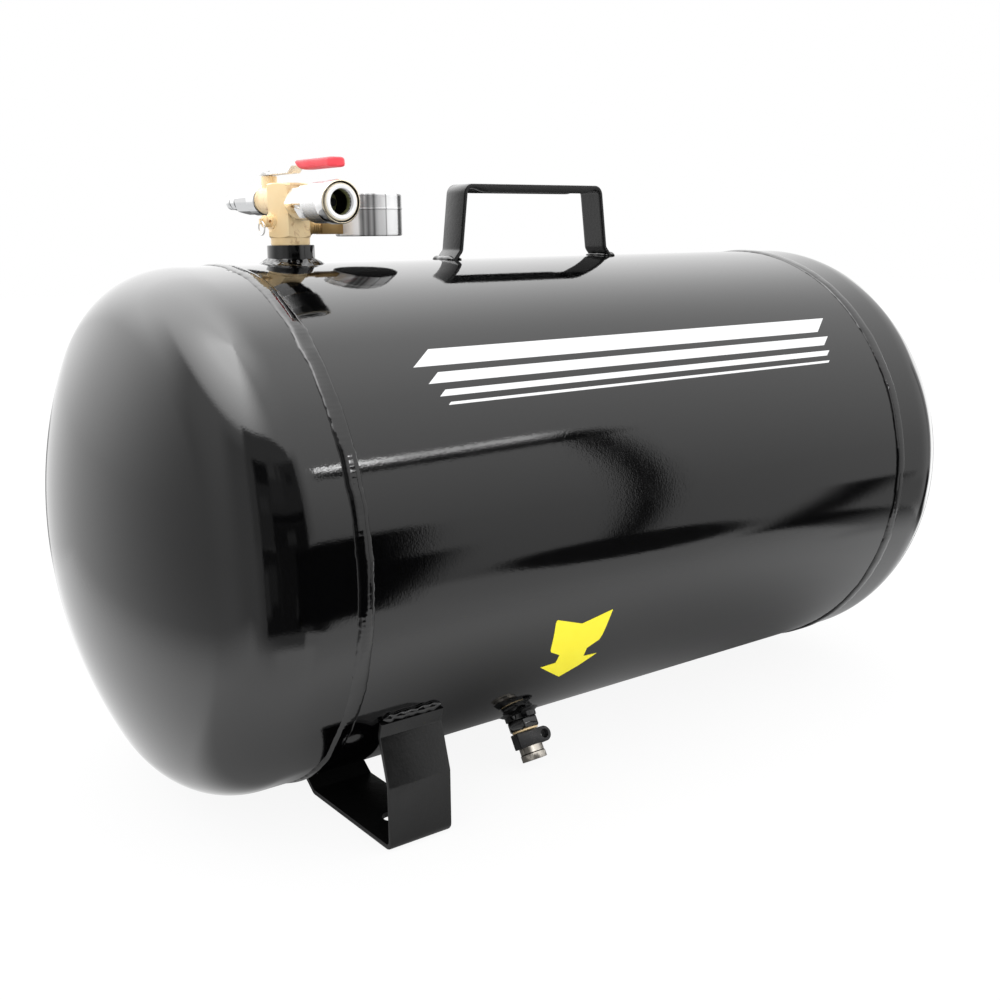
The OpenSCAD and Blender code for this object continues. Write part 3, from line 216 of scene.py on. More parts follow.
# Beside the opening: a lamp's thin rail with its glint, a stand that curves down to a dark foot, low shelves
rail_height = height + (side - 32.0) * 0.17
along_rail = tent.rise(side, 30.4, 31.8) * tent.rise(side, 45.2, 42.0)
glint = tent.between(rail_height, 27.5, 29.0, 0.3) * along_rail
seen = tent.blend(seen, tent.rise(side, 33.0, 36.5, 12.0, 4.8), glint)
seen = patch(seen, 0.10, 30.4, 46.0, 24.6, 26.6, 0.5, 0.6, upward=rail_height)
bow = height + 2.0
seen = patch(seen, 0.03, 41.45, 43.5, -18.0, 25.5, 1.0, 0.4, across=side - bow * bow * 0.0030)
from_foot = side - 44.0
foot_side, foot_height = from_foot / 6.6, (height + 19.6 + from_foot * 0.12) / 3.9
seen = tent.blend(seen, 0.035, tent.rise(foot_side * foot_side + foot_height * foot_height, 1.25, 0.8))
for panel in ((0.50, 56.6, 68, -23, -13.5, 1.6), (0.025, 52.4, 55.6, -23.5, -10.8, 0.8),
        (0.035, 62, 84, -29.5, -24.5, 1.2), (0.50, 79.5, 84.5, -10, 16, 1.5), (2.9, 91, 106, -17, 12, 2.5),
        (2.1, 103, 120, -28, 12, 3), (0.05, 79, 91, -25, -11, 2), (0.06, 88, 97, -24, -18.5, 1.2)):
    seen = patch(seen, *panel)
shelf_height = height + (side - 58.8) * 0.5
seen = patch(seen, 0.02, 54.0, 73.0, -25.6, -21.6, 0.6, 1.0, upward=shelf_height)

# Low behind the tank, what draws the thin dark line along its top edge
seen = patch(seen, 0.30, 112, 172, -24, -6.5, 1.5)

by_camera, by_gloss = tent.rays()
backdrop = tent.add("ShaderNodeBackground", colour(1.0), 1.0)
soft_fill = tent.add("ShaderNodeBackground", colour((0.99, 0.995, 1.0)), 1.38)
mirror_tent = tent.add("ShaderNodeBackground", colour(1.0), seen)
studio = tent.layer(by_camera, tent.layer(by_gloss, soft_fill, mirror_tent), backdrop)
tent.add("ShaderNodeOutputWorld", studio.outputs[0])

# The floor is white paper. In the gloss it carries a painted shadow close under the tank and painted light,
# brighter towards the riser's end. Away from the tank the gloss sees the tent through it,
# so that it ends there like a table.
floor_mesh = bpy.data.meshes.new("floor")
floor_mesh.from_pydata([(-6, -6, 0), (6, -6, 0), (6, 6, 0), (-6, 6, 0)], [], [(0, 1, 2, 3)])
floor = in_scene("floor", floor_mesh)
floor.location.z = -0.0005
paper = bpy.data.materials.new("white_paper")
paper.use_nodes = True
paper.node_tree.nodes.clear()
sheet = Tree(paper.node_tree)
by_camera, by_gloss = sheet.rays()
x, y, _ = sheet.split(sheet.place())
along, beside = x / 0.42, sheet.math("MAXIMUM", y / -0.24, y / 0.7)
under_front = sheet.math("MAXIMUM", sheet.rise(y, -0.02, -0.07), sheet.rise(x, -0.26, -0.18))
under_front = under_front * sheet.rise(x, -0.10, 0.06, 1.0, 0.62)
# Painted shadow: in the gloss the paper darkens close under the tank
shade = by_gloss * under_front * sheet.rise(
    sheet.math("SQRT", along * along + beside * beside), 0.42, 1.12, 0.88, 0.08)
matt = sheet.add("ShaderNodeBsdfDiffuse", sheet.mix(shade, 0.9, 0.0))
strength = sheet.blend(sheet.blend(1.03, 1.35, by_gloss), 0.0, shade)
glow = sheet.add("ShaderNodeEmission", colour(1.0), strength)
# Painted light: in the gloss the paper glows brighter towards the riser's end
lit = sheet.layer(by_camera * 0.88 + by_gloss * sheet.rise(x, 0.24, -0.16, 0.0, 0.72), matt, glow)
away = sheet.math("MAXIMUM", sheet.math("MAXIMUM", sheet.rise(y, -0.20, -0.34), sheet.rise(y, 0.5, 0.7)),
    sheet.rise(sheet.math("ABSOLUTE", x), 0.40, 0.60))
ending = sheet.layer(away * by_gloss, lit, sheet.add("ShaderNodeBsdfTransparent"))
sheet.add("ShaderNodeOutputMaterial", ending.outputs[0])
floor_mesh.materials.append(paper)

# -------------------- Shell and heads
# The tank is 300 mm across: a rolled shell of 2.5 mm steel plate between two pressed dished heads.
# It is powder coated in gloss black, which leaves a fine orange peel over slow waves in the plate.
axis_height, tank_radius, plate = 0.159, 0.150, 0.0025
seam_x, seam_gap = 0.213, 0.001
head_flange, crown_radius, knuckle_radius = 0.024, 0.280, 0.048


def grain(tree, scale, detail=2.0, stretch=(1, 1, 1), rough=0.5, warp=0.0):
    """Noise whose size follows the object: scale is in spots per metre."""
    points = tree.add("ShaderNodeMapping", tree.place(), None, None, stretch).outputs[0]
    node = tree.add("ShaderNodeTexNoise", points)
    for name, value in (("Scale", scale), ("Detail", detail), ("Roughness", rough), ("Distortion", warp)):
        tree.put(node.inputs[name], value)
    return node.outputs["Fac"]


def new_material(name, tones=None, spots=(), rough=None, rough_spots=(), bumps=(), **settings):
    """A material with its tree and the inputs of its shader. Its colour and its roughness each drift
    between two values, over grain with those spots per metre and detail. Each bump has its strength,
    its depth in metres and its grain."""
    material = bpy.data.materials.new(name)
    material.use_nodes = True
    tree = Tree(material.node_tree)
    shader = material.node_tree.nodes["Principled BSDF"].inputs
    if tones:
        tree.put(shader["Base Color"], tree.mix(grain(tree, *spots), *tones))
    if rough:
        tree.put(shader["Roughness"], tree.rise(grain(tree, *rough_spots), 0.3, 0.7, *rough))
    normal = None
    for strength, depth, *pattern in bumps:
        bump = tree.add("ShaderNodeBump")
        for socket, value in (("Strength", strength), ("Distance", depth), ("Height", grain(tree, *pattern)),
                ("Normal", normal)):
            tree.put(bump.inputs[socket], value)
        normal = bump.outputs[0]
    tree.put(shader["Normal"], normal)
    for socket, value in settings.items():
        tree.put(shader[socket.replace("_", " ")], value)
    return material, tree, shader


powder_coat = new_material("powder_coat", ((0.0005, 0.0005, 0.0006), (0.0012, 0.0012, 0.0014)), (30,),
    (0.045, 0.065), (60, 3), ((0.05, 0.0016, 11, 1), (0.06, 0.00012, 420, 1), (0.27, 0.00004, 1000, 1)),
    IOR=1.65)[0]


def made_mesh(points, faces):
    mesh = bpy.data.meshes.new("made")
    mesh.from_pydata(points, [], faces)
    return mesh


def from_bmesh(bm):
    mesh = bpy.data.meshes.new("made")
    bm.to_mesh(mesh)
    bm.free()
    return mesh


def shade_round(mesh, crisp=30.0):
    """Soft shading over curved faces, with the edges above that angle left crisp."""
    mesh.shade_smooth()
    mesh.set_sharp_from_angle(angle=radians(crisp))


def add_bevel(piece, width, angle):
    bevel = piece.modifiers.new("broken_edges", "BEVEL")
    bevel.width, bevel.segments, bevel.limit_method, bevel.angle_limit = width, 2, "ANGLE", radians(angle)


def add_piece(name, mesh, material, body="tank", replaces=None, crisp=30.0, edge=None):
    """Makes a mesh a piece of the object, which rides on its body. Its edges are broken by that width."""
    mesh.name = name
    mesh.validate()
    bm = bmesh.new()
    bm.from_mesh(mesh)
    bmesh.ops.recalc_face_normals(bm, faces=bm.faces)
    bm.to_mesh(mesh)
    bm.free()
    shade_round(mesh, crisp)
    mesh.materials.clear()
    mesh.materials.append(material)
    piece = in_scene(name, mesh)
    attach(piece, body)
    if replaces:
        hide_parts(replaces)
    if edge:
        add_bevel(piece, edge, 32)
    return piece


def around(count):
    """Angles at even steps round a circle."""
    return [2 * pi * i / count for i in range(count)]


def turned(profile, origin, along, steps=96, start=None, shape=None):
    """A closed turned part. The profile is a closed loop of (radius, distance) points round an axis
    that runs from origin along a direction; shape(point_index, angle) may add to radius and distance."""
    axis = Vector(along).normalized()
    first = Vector(start or ((0, 0, 1) if abs(axis.z) < 0.9 else (1, 0, 0)))
    first = (first - axis * first.dot(axis)).normalized()
    second = axis.cross(first)
    points, rings, faces = [], [], []
    for k, (r, d) in enumerate(profile):
        if r < 1e-7:
            points.append(Vector(origin) + axis * d)
            rings.append([len(points) - 1] * steps)
            continue
        rings.append(list(range(len(points), len(points) + steps)))
        for a in around(steps):
            dr, dd = shape(k, a) if shape else (0.0, 0.0)
            out = first * cos(a) + second * sin(a)
            points.append(Vector(origin) + axis * (d + dd) + out * (r + dr))
    for here, after in zip(rings, rings[1:] + rings[:1]):
        for i in range(steps):
            j = (i + 1) % steps
            corners = list(dict.fromkeys((here[i], here[j], after[j], after[i])))
            if len(corners) > 2:
                faces.append(corners)
    return made_mesh(points, faces)


def arc(centre, radius, first, last, steps):
    """Points on an arc in a profile, with angles in degrees from the outward direction."""
    angles = [radians(first + (last - first) * i / steps) for i in range(steps + 1)]
    return [(centre[0] + radius * cos(a), centre[1] + radius * sin(a)) for a in angles]


shell_end = seam_x - seam_gap
shell_profile = [(tank_radius, shell_end * (i / 4 - 1)) for i in range(9)]
shell_profile = [(tank_radius - plate, -shell_end)] + shell_profile + [(tank_radius - plate, shell_end)]
shell = turned(shell_profile, (0, 0, axis_height), (1, 0, 0), 384)
add_piece("tank_shell", shell, powder_coat, replaces="shell")

knuckle_centre = (tank_radius - knuckle_radius, head_flange)
head_depth = crown_radius - sqrt((crown_radius - knuckle_radius) ** 2 - knuckle_centre[0] ** 2)
crown_centre = head_flange + head_depth - crown_radius
crown_edge = degrees(atan2(knuckle_centre[1] - crown_centre, knuckle_centre[0]))


def head_side(inset):
    """Half section of a head from its rim to its pole, moved in from the outside."""
    flange = [(tank_radius - inset, seam_gap + (head_flange - seam_gap) * i / 4) for i in range(4)]
    knuckle = arc(knuckle_centre, knuckle_radius - inset, 0, crown_edge, 28)
    crown = arc((0, crown_centre), crown_radius - inset, crown_edge, 90, 34)
    return flange + knuckle + crown[1:-1] + [(0.0, crown_centre + crown_radius - inset)]


head_profile = head_side(0) + head_side(plate)[::-1]
for name, way in (("left_head", -1), ("right_head", 1)):
    add_piece(name + "_skin", turned(head_profile, (way * seam_x, 0, axis_height), (way, 0, 0), 384),
        powder_coat, replaces=name)

# -------------------- Girth welds
# Each head is joined to the shell by one machine-laid butt weld, all the way round.
# Its crown is low and a little uneven, with fine ripples and edges that wander under the paint.
bead_width, bead_height = 0.0095, 0.0012
across = [-1.0, -0.93, -0.78, -0.5, -0.2, 0.1, 0.4, 0.7, 0.88, 1.0]
crown = [0.0, 0.36, 0.72, 0.93, 1.0, 0.99, 0.92, 0.74, 0.40, 0.0]
root = tank_radius - 0.0004
bead_profile = [(root, -bead_width / 2)]
bead_profile += [(tank_radius + bead_height * c * 0.86, a * bead_width / 2) for a, c in zip(across, crown)]
bead_profile += [(root, bead_width / 2), (root, seam_gap), (tank_radius - plate, seam_gap),
    (tank_radius - plate, -seam_gap), (root, -seam_gap)]


def uneven(seed):
    """The wander and the ripples of one bead, as a shape for turned."""
    def shape(k, a):
        if not 1 <= k <= len(across):
            return 0.0, 0.0
        ring = Vector((cos(a), sin(a), seed))
        c, edge = crown[k - 1], across[k - 1]
        wander = noise.noise(ring * 9) * 0.0007 + noise.noise(ring * 34) * 0.00035
        width = (noise.noise(ring * 6 + Vector((5, 5, 5))) * 0.09 + noise.noise(ring * 60) * 0.05) * edge
        ripple = 0.00004 * sin(a * 330 + 2.2 * edge * edge + noise.noise(ring * 20) * 3)
        lift = noise.noise(ring * 14 + Vector((0, 3, 0))) * 0.00022
        return (lift + ripple) * c, wander + width * bead_width / 2

    return shape


for name, x, seed in (("left_girth_weld", -seam_x, 1.0), ("right_girth_weld", seam_x, 7.0)):
    add_piece(name + "_bead", turned(bead_profile, (x, 0, axis_height), (1, 0, 0), 900, shape=uneven(seed)),
        powder_coat, replaces=name, crisp=60)

# -------------------- Markings
# Four plain white stripes are screen printed along the front, where a tank carries its decoration.
# A yellow vinyl arrow is stuck on lower down and points at the drain cock.
stripe_paint = new_material("white_print", (0.80, 0.86), (90, 3), (0.28, 0.40), (300, 2),
    ((0.30, 0.0016, 14, 1), (0.2, 0.0001, 420, 1)))[0]
sticker_vinyl = new_material("yellow_vinyl", ((1.0, 0.86, 0.015), (1.0, 0.90, 0.03)), (120, 2),
    bumps=((0.12, 0.0002, 200, 2),), Roughness=0.42)[0]


def on_shell(x, angle, lift=0.0):
    """A point on the shell's front: angle in degrees above the horizontal through its axis."""
    a = radians(angle)
    return Vector((x, -(tank_radius + lift) * cos(a), axis_height + (tank_radius + lift) * sin(a)))


def wrapped(outline, thickness, step=0.75):
    """A thin closed sheet with that outline of (x, angle) points, laid on the shell."""
    bm = bmesh.new()
    bm.faces.new([bm.verts.new((x, a, 0)) for x, a in outline])
    low, high = min(a for _, a in outline), max(a for _, a in outline)
    for i in range(1, int((high - low) / step) + 1):
        bmesh.ops.bisect_plane(bm, geom=bm.verts[:] + bm.edges[:] + bm.faces[:], dist=1e-9,
            plane_co=(0, low + i * step, 0), plane_no=(0, 1, 0))
    bmesh.ops.triangulate(bm, faces=[f for f in bm.faces if len(f.verts) > 4])
    lower = bmesh.ops.duplicate(bm, geom=bm.verts[:] + bm.edges[:] + bm.faces[:])
    twins = lower["vert_map"]
    for v in bm.verts:
        v.co.z = 0.5
    for v in [g for g in lower["geom"] if isinstance(g, bmesh.types.BMVert)]:
        v.co.z = -0.5
    for e in [e for e in bm.edges if e.is_boundary and e.verts[0].co.z > 0]:
        a, b = e.verts
        bm.faces.new((a, b, twins[b], twins[a]))
    for v in bm.verts:
        v.co = on_shell(v.co.x, v.co.y, thickness if v.co.z > 0 else -0.00002)
    return from_bmesh(bm)


stripes = ((-0.152, 0.171, 41.0, 45.2), (-0.150, 0.167, 36.9, 39.4), (-0.148, 0.163, 33.9, 35.3),
    (-0.146, 0.160, 31.9, 32.5))
for number, (left, right, low, high) in enumerate(stripes, 1):
    slant = (high - low) * 0.0017
    outline = [(left - slant, low), (right - slant, low), (right + slant, high), (left + slant, high)]
    add_piece(f"print_stripe_{number}", wrapped(outline, 0.00004), stripe_paint)

# The arrow's outline, in millimetres along the tank and degrees round it
arrow = ((-44.4, -18.8), (-45.4, -22.0), (-46.2, -25.6), (-47.3, -27.2), (-54.9, -29.0), (-54.6, -31.7),
    (-43.9, -32.0), (-54.2, -35.0), (-66.0, -37.7), (-87.0, -31.6), (-76.1, -31.4), (-75.8, -28.9),
    (-83.6, -27.2), (-84.8, -26.5), (-85.1, -25.7), (-87.2, -18.7), (-86.9, -18.1), (-86.0, -18.0),
    (-66.3, -20.7))
add_piece("arrow_sticker", wrapped([(x / 1000, a) for x, a in arrow], 0.00012), sticker_vinyl)

# -------------------- Carry handle
# One strap of 20 x 2.8 mm steel is bent to a bridge, with the edges of its grip turned down so that
# they don't cut the hand. Its ends turn out and are welded to the shell, then painted with it.
handle_x = 0.0043
strap_width, strap_thick = 0.020, 0.0028
strap_paint = new_material("strap_paint", (0.004, 0.007), (40, 3), (0.20, 0.30), (90, 3),
    ((0.45, 0.00016, 500, 1), (0.15, 0.0004, 90, 2)))[0]


def bent_path(points, radii, steps=8):
    """A line through the points with a rounded bend at each inner one."""
    points = [Vector(p) for p in points]
    path = [points[0]]
    for a, b, c, r in zip(points, points[1:], points[2:], radii):
        u, v = (a - b).normalized(), (c - b).normalized()
        half = u.angle(v) / 2
        centre = b + (u + v).normalized() * (r / sin(half))
        first, last = b + u * (r / tan(half)) - centre, b + v * (r / tan(half)) - centre
        full = first.angle(last)
        axis = first.cross(last).normalized()
        path += [centre + Matrix.Rotation(full * i / steps, 3, axis) @ first for i in range(steps + 1)]
    return path + [points[-1]]


def filled_in(path, gap):
    """The path with more points on its straight parts."""
    full = [path[0]]
    for a, b in zip(path, path[1:]):
        n = max(1, int((b - a).length / gap))
        full += [a.lerp(b, (i + 1) / n) for i in range(n)]
    return full


def rows_mesh(rows, closed=False):
    """A mesh over rows of as many points each, one after the other. It has an end face at either end,
    unless the rows close into a ring."""
    n, last = len(rows[0]), len(rows) - 1
    spans = [(i, i + 1) for i in range(last)]
    ends = [list(range(n))[::-1], list(range(last * n, last * n + n))]
    if closed:
        spans, ends = spans + [(last, 0)], []
    faces = [[a * n + k, a * n + (k + 1) % n, b * n + (k + 1) % n, b * n + k]
        for a, b in spans for k in range(n)]
    return made_mesh([p for row in rows for p in row], faces + ends)


def swept(path, across, section):
    """Sweeps a closed section along a path in a plane. section(point) gives (sideways, out) points."""
    across = Vector(across)
    rows = []
    for i, p in enumerate(path):
        before = (p - path[i - 1]).normalized() if i else None
        after = (path[i + 1] - p).normalized() if i + 1 < len(path) else None
        along = ((before or after) + (after or before)).normalized()
        out = along.cross(across).normalized()
        stretch = 1 / max(0.5, along.dot(after or before))
        rows.append([p + across * s + out * o * stretch for s, o in section(p)])
    return rows_mesh(rows)


def strap_section(lip, edge=0.0006, lip_thick=0.0022):
    """A flat bar with rounded edges. The out direction is +, and the lips hang below the bar."""
    w, t = strap_width / 2, strap_thick / 2
    cut, lower, inner = edge * 0.3, -t - lip, w - lip_thick
    points = [(-w + edge, t), (w - edge, t), (w - cut, t - cut), (w, t - edge), (w, lower + edge),
        (w - cut, lower + cut), (w - edge, lower), (inner + cut, lower), (inner, lower + min(cut, lip * 0.3)),
        (inner - 0.0006, -t)]
    points += [(-x, y) for x, y in points[::-1][:3]]
    return points + [(-w + edge, lower), (-w + cut, lower + cut), (-w, lower + edge), (-w, t - edge),
        (-w + cut, t - cut)]


handle_height, handle_span = 0.046, 0.113
grip_half, lip_run, lip_depth = 0.0515, 0.012, 0.0024
corner = handle_span / 2 - strap_thick / 2
knee = corner + 0.0046
toe = knee + 0.0062
handle_line = [(-toe, -0.0020), (-knee, 0.0052), (-corner, handle_height - strap_thick / 2)]
handle_line += [(-x, z) for x, z in handle_line[::-1]]
handle_line = [(handle_x + x, 0, axis_height + tank_radius + z) for x, z in handle_line]
handle_path = filled_in(bent_path(handle_line, [0.0045, 0.005, 0.005, 0.0045]), 0.0018)


def grip_section(point):
    """The lips are full along the middle of the grip and run out towards its bends."""
    on_top = point.z > axis_height + tank_radius + handle_height - strap_thick
    full = min(1.0, max(0.0, (grip_half - abs(point.x - handle_x)) / lip_run)) if on_top else 0.0
    return strap_section(lip_depth * full * full * (3 - 2 * full) + 0.00001)


add_piece("carry_handle_strap", swept(handle_path, (0, 1, 0), grip_section), strap_paint,
    replaces="carry_handle")


def hand_weld(path, out, radius, seed, rough=0.28):
    """A hand-laid bead along a path: a lumpy rope of overlapping puddles, with closed ends."""
    rows, last, out = [], len(path) - 1, Vector(out).normalized()
    for i, p in enumerate(path):
        along = (path[min(i + 1, last)] - path[max(i - 1, 0)]).normalized()
        other = along.cross(out).normalized()
        end = min(1.0, 0.35 + min(i, last - i) / 3.0)
        spot = p * 260 + Vector((seed, seed * 2, 0))
        size = radius * end * (1 + rough * noise.noise(spot) + rough * 0.6 * sin(i * 1.3 + seed))
        row = []
        for a in around(10):
            lump = 1 + rough * 0.9 * noise.noise(p * 700 + Vector((cos(a), sin(a), seed)) * 1.4)
            row.append(p + (out * cos(a) * 0.8 + other * sin(a) * 1.1) * size * lump)
        rows.append(row)
    return rows_mesh(rows)


def joined(meshes):
    """One mesh from several."""
    bm = bmesh.new()
    for mesh in meshes:
        bm.from_mesh(mesh)
        bpy.data.meshes.remove(mesh)
    return from_bmesh(bm)


def add_welds(name, beads, node):
    piece = add_piece(name, joined(beads), powder_coat, replaces=node, crisp=80)
    soft = piece.modifiers.new("soft", "SUBSURF")
    soft.levels = soft.render_levels = 1


beads = []
for s in (-1, 1):
    for off, r in ((0.0010, 0.0024), (-0.0050, 0.0016)):
        x, reach = handle_x + s * (toe + off), tank_radius + 0.0004
        ys = [-0.0112 + 0.0224 * i / 16 for i in range(17)]
        line = [Vector((x, y, axis_height + sqrt(reach * reach - y * y))) for y in ys]
        beads.append(hand_weld(line, (s * 0.3, 0, 1), r, 3 + s + off * 900))
add_welds("handle_weld_beads", beads, "handle_welds")

# -------------------- Feet
# Two straps of 39.5 x 3 mm steel are folded to open boxes under the riser's end of the tank.
# Each has a bolt hole in its sole and is welded to the shell above its flange and at its inner end.
foot_x, foot_width, foot_thick = -0.1725, 0.0395, 0.003
flange_radius, flange_angle = tank_radius + foot_thick / 2, radians(35.1)
flange_y, flange_z = flange_radius * cos(flange_angle), axis_height - flange_radius * sin(flange_angle)
lean, neck_run = radians(15), 0.0085
wall_y, fold_z = 0.131 - foot_thick / 2, 0.037
sole_y, sole_z = 0.043, foot_thick / 2
inner_y = sole_y - 0.016
inner_z = axis_height - sqrt(tank_radius ** 2 - inner_y ** 2) + foot_thick / 2
bolt_y, bolt_radius, foot_bend = 0.100, 0.0058, 0.004
foot_line = [(flange_y, flange_z), (flange_y - neck_run * sin(lean), flange_z - neck_run * cos(lean)),
    (wall_y, fold_z), (wall_y, sole_z), (sole_y, sole_z), (inner_y, inner_z)]
foot_paint, tree, shader = new_material("foot_paint", (0.004, 0.007), (40, 3), (0.30, 0.40), (90, 3),
    ((0.6, 0.00016, 500, 1), (0.2, 0.0005, 90, 2)))


def facing_up(tree):
    """How far a face looks upwards, from -1 to 1."""
    return tree.split(tree.add("ShaderNodeNewGeometry").outputs["Normal"])[2]


# Faces that look upwards get little gloss: painted shade, as on the sole within the box
tree.put(shader["Specular IOR Level"], tree.rise(facing_up(tree), 0.55, 0.8, 0.5, 0.05))
drill_profile = [(0, -0.01), (bolt_radius, -0.01), (bolt_radius, 0.01), (0, 0.01)]


def finished(piece):
    """The mesh of an object with its modifiers done."""
    bpy.context.view_layer.update()
    return bpy.data.meshes.new_from_object(piece.evaluated_get(bpy.context.evaluated_depsgraph_get()))


w, t = foot_width / 2, foot_thick / 2
quarter = [(w - 0.0006, t), (w - 0.0002, t - 0.0002), (w, t - 0.0006)]
foot_section = quarter + [(x, -y) for x, y in quarter[::-1]] + [(-x, -y) for x, y in quarter]
foot_section += [(-x, y) for x, y in quarter[::-1]]
for name, s in (("front_foot", -1), ("rear_foot", 1)):
    path = bent_path([(foot_x, s * y, z) for y, z in foot_line], [foot_bend] * 4)
    strap = swept(filled_in(path, 0.004), (1, 0, 0), lambda point: foot_section)
    piece = add_piece(name + "_strap", strap, foot_paint, replaces=name)
    drill = in_scene("drill", turned(drill_profile, (foot_x, s * bolt_y, 0), (0, 0, 1), 48))
    hole = piece.modifiers.new("bolt_hole", "BOOLEAN")
    hole.object, hole.operation, hole.solver = drill, "DIFFERENCE", "EXACT"
    drilled = finished(piece)
    piece.modifiers.clear()
    piece.data = drilled
    shade_round(drilled)
    bpy.data.objects.remove(drill)

beads = []
xs = [foot_x + 0.0185 * (i / 13 - 1) for i in range(27)]
bead_out, bead_angle = tank_radius + 0.0006, flange_angle - 0.012
for s in (-1, 1):
    y, z = s * bead_out * cos(bead_angle), axis_height - bead_out * sin(bead_angle)
    beads.append(hand_weld([Vector((x, y, z)) for x in xs], (0, s, -0.7), 0.0027, 11 + s))
    y, z = s * (inner_y - 0.0012), inner_z - 0.0014
    beads.append(hand_weld([Vector((x, y, z)) for x in xs], (0, -s, -0.7), 0.0019, 17 + s))
add_welds("foot_weld_beads", beads, "foot_welds")

# -------------------- Bungs
# A round steel bung is let into the top of the shell for the riser, and a smaller one low on the
# front for the drain. Each is welded round by hand and painted with the tank.
riser_x = -0.1685
drain_x, drain_slope = -0.066, radians(148)
drain_out = Vector((0, -sin(drain_slope), cos(drain_slope)))
rim, root_depth = 0.0007, 0.0015
bungs = (
    ("riser_bung", "outlet_bung", riser_x, Vector((0, 0, 1)), 0.0136, 0.01045, 0.0105, 0.0060, 0.0034, 5),
    ("drain_boss", "drain_bung", drain_x, drain_out, 0.010, 0.00658, 0.0046, 0.0034, 0.0018, 9))
for name, node, x, out, outer, inner, tall, *_ in bungs:
    end = tank_radius + tall
    profile = [(inner, tank_radius - 0.005), (outer, tank_radius - 0.005), (outer, end - rim),
        (outer - rim * 0.3, end - rim * 0.3), (outer - rim, end), (inner + 0.0003, end),
        (inner, end - 0.0003)]
    add_piece(name, turned(profile, (x, 0, axis_height), out), powder_coat, replaces=node)

# The flared, lumpy fillet round each bung follows the curved shell. Its section starts at the bung's wall.
for name, node, x, out, outer, _, _, wide, high, seed in bungs:
    wall, first = outer - 0.0001, Vector((1, 0, 0))
    second = out.cross(first)
    rows = []
    for a in around(150):
        ring = Vector((cos(a), sin(a), 0))
        reach = wide * (1 + 0.22 * noise.noise(ring * 2.2 + Vector((0, 0, seed))))
        top = high * (1 + 0.25 * noise.noise(ring * 3 + Vector((0, 0, seed + 7))))
        section = []
        for t in [k / 9 for k in range(10)]:
            lump = noise.noise(ring * 9 + Vector((0, 0, t * 2.5 + seed))) * 0.16 * high * sin(pi * t)
            section.append((wall + reach * t, top * (1 - t) ** 1.1 + lump - 0.0002 * t))
        section += [(wall + reach * 0.9, -root_depth), (wall - 0.0005, -root_depth),
            (wall - 0.0005, top * 0.9)]
        rows.append([Vector((x, 0, axis_height)) + (first * cos(a) + second * sin(a)) * r +
            out * (sqrt(tank_radius ** 2 - (r * sin(a)) ** 2) + lift) for r, lift in section])
    add_piece(name + "_bead", rows_mesh(rows, closed=True), powder_coat, replaces=node + "_weld", crisp=80)

# -------------------- Riser
# The riser is turned and milled from brass bar. It screws into the bung and carries the ball valve
# in one piece with it. Handling and thread sealant have left reddish-brown stains on the brass.
brass, tree, shader = new_material("machined_brass", Metallic=0.25, Coat_Weight=0.35, Coat_Roughness=0.35,
    bumps=((0.25, 0.00006, 900, 2, (1, 1, 0.12)), (0.12, 0.0001, 260, 2)))
smears, patches = grain(tree, 110, 4, rough=0.65, warp=1.2), grain(tree, 26)
stain = tree.rise(smears, 0.53, 0.72) * tree.rise(patches, 0.38, 0.62)
tone = tree.mix(grain(tree, 60, 3), (1.0, 0.71, 0.35), (1.0, 0.82, 0.52))
tree.put(shader["Base Color"], tree.mix(stain, tone, (0.52, 0.27, 0.10)))
tree.put(shader["Roughness"], stain * 0.15 + tree.rise(grain(tree, 350), 0.3, 0.7, 0.46, 0.56))

# Soft shading for CAD nodes, with the edges above 30 degrees left crisp
soft_faces = bpy.data.node_groups.new("soft_faces", "GeometryNodeTree")
for way in ("INPUT", "OUTPUT"):
    soft_faces.interface.new_socket("Geometry", in_out=way, socket_type="NodeSocketGeometry")
steps = Tree(soft_faces)
edge_angle = steps.add("GeometryNodeInputMeshEdgeAngle").outputs[0]
gentle = steps.add("FunctionNodeCompare", edge_angle, radians(30), operation="LESS_EQUAL")
faces = steps.add("GeometryNodeSetShadeSmooth", steps.add("NodeGroupInput").outputs[0], domain="FACE")
edges = steps.add("GeometryNodeSetShadeSmooth", faces.outputs[0], domain="EDGE")
steps.put(edges.inputs["Shade Smooth"], gentle.outputs[0])
steps.add("NodeGroupOutput", edges.outputs[0])


def dress(material, *names, edge=0.0, flat=3.0):
    """Gives CAD nodes their finish, with facets joined up to the flat angle and edges just broken."""
    for name in names:
        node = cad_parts[name]
        node.data.materials.clear()
        node.data.materials.append(material)
        node.modifiers.new("joined", "WELD").merge_threshold = 0.00001
        if flat:
            planar = node.modifiers.new("flat_faces", "DECIMATE")
            planar.decimate_type, planar.angle_limit = "DISSOLVE", radians(flat)
        if edge:
            add_bevel(node, edge, 30)
        node.modifiers.new("soft_faces", "NODES").node_group = soft_faces


dress(brass, "riser_body", edge=0.0003)
dress(brass, "seat_retainer", "packing_gland", edge=0.0001)

# -------------------- Ball valve and its lever
# The fill valve's chrome-plated ball turns between two white seats. A plated steel stem with a rivet
# end carries the zinc-plated lever, whose far end is dipped in soft red vinyl.


def from_axis(tree, point):
    """Distance from a line along Y through the point."""
    offset = tree.add("ShaderNodeVectorMath", tree.place(), point, operation="SUBTRACT")
    flat = tree.add("ShaderNodeVectorMath", offset.outputs[0], (1, 0, 1), operation="MULTIPLY")
    return tree.add("ShaderNodeVectorMath", flat.outputs[0], operation="LENGTH").outputs["Value"]


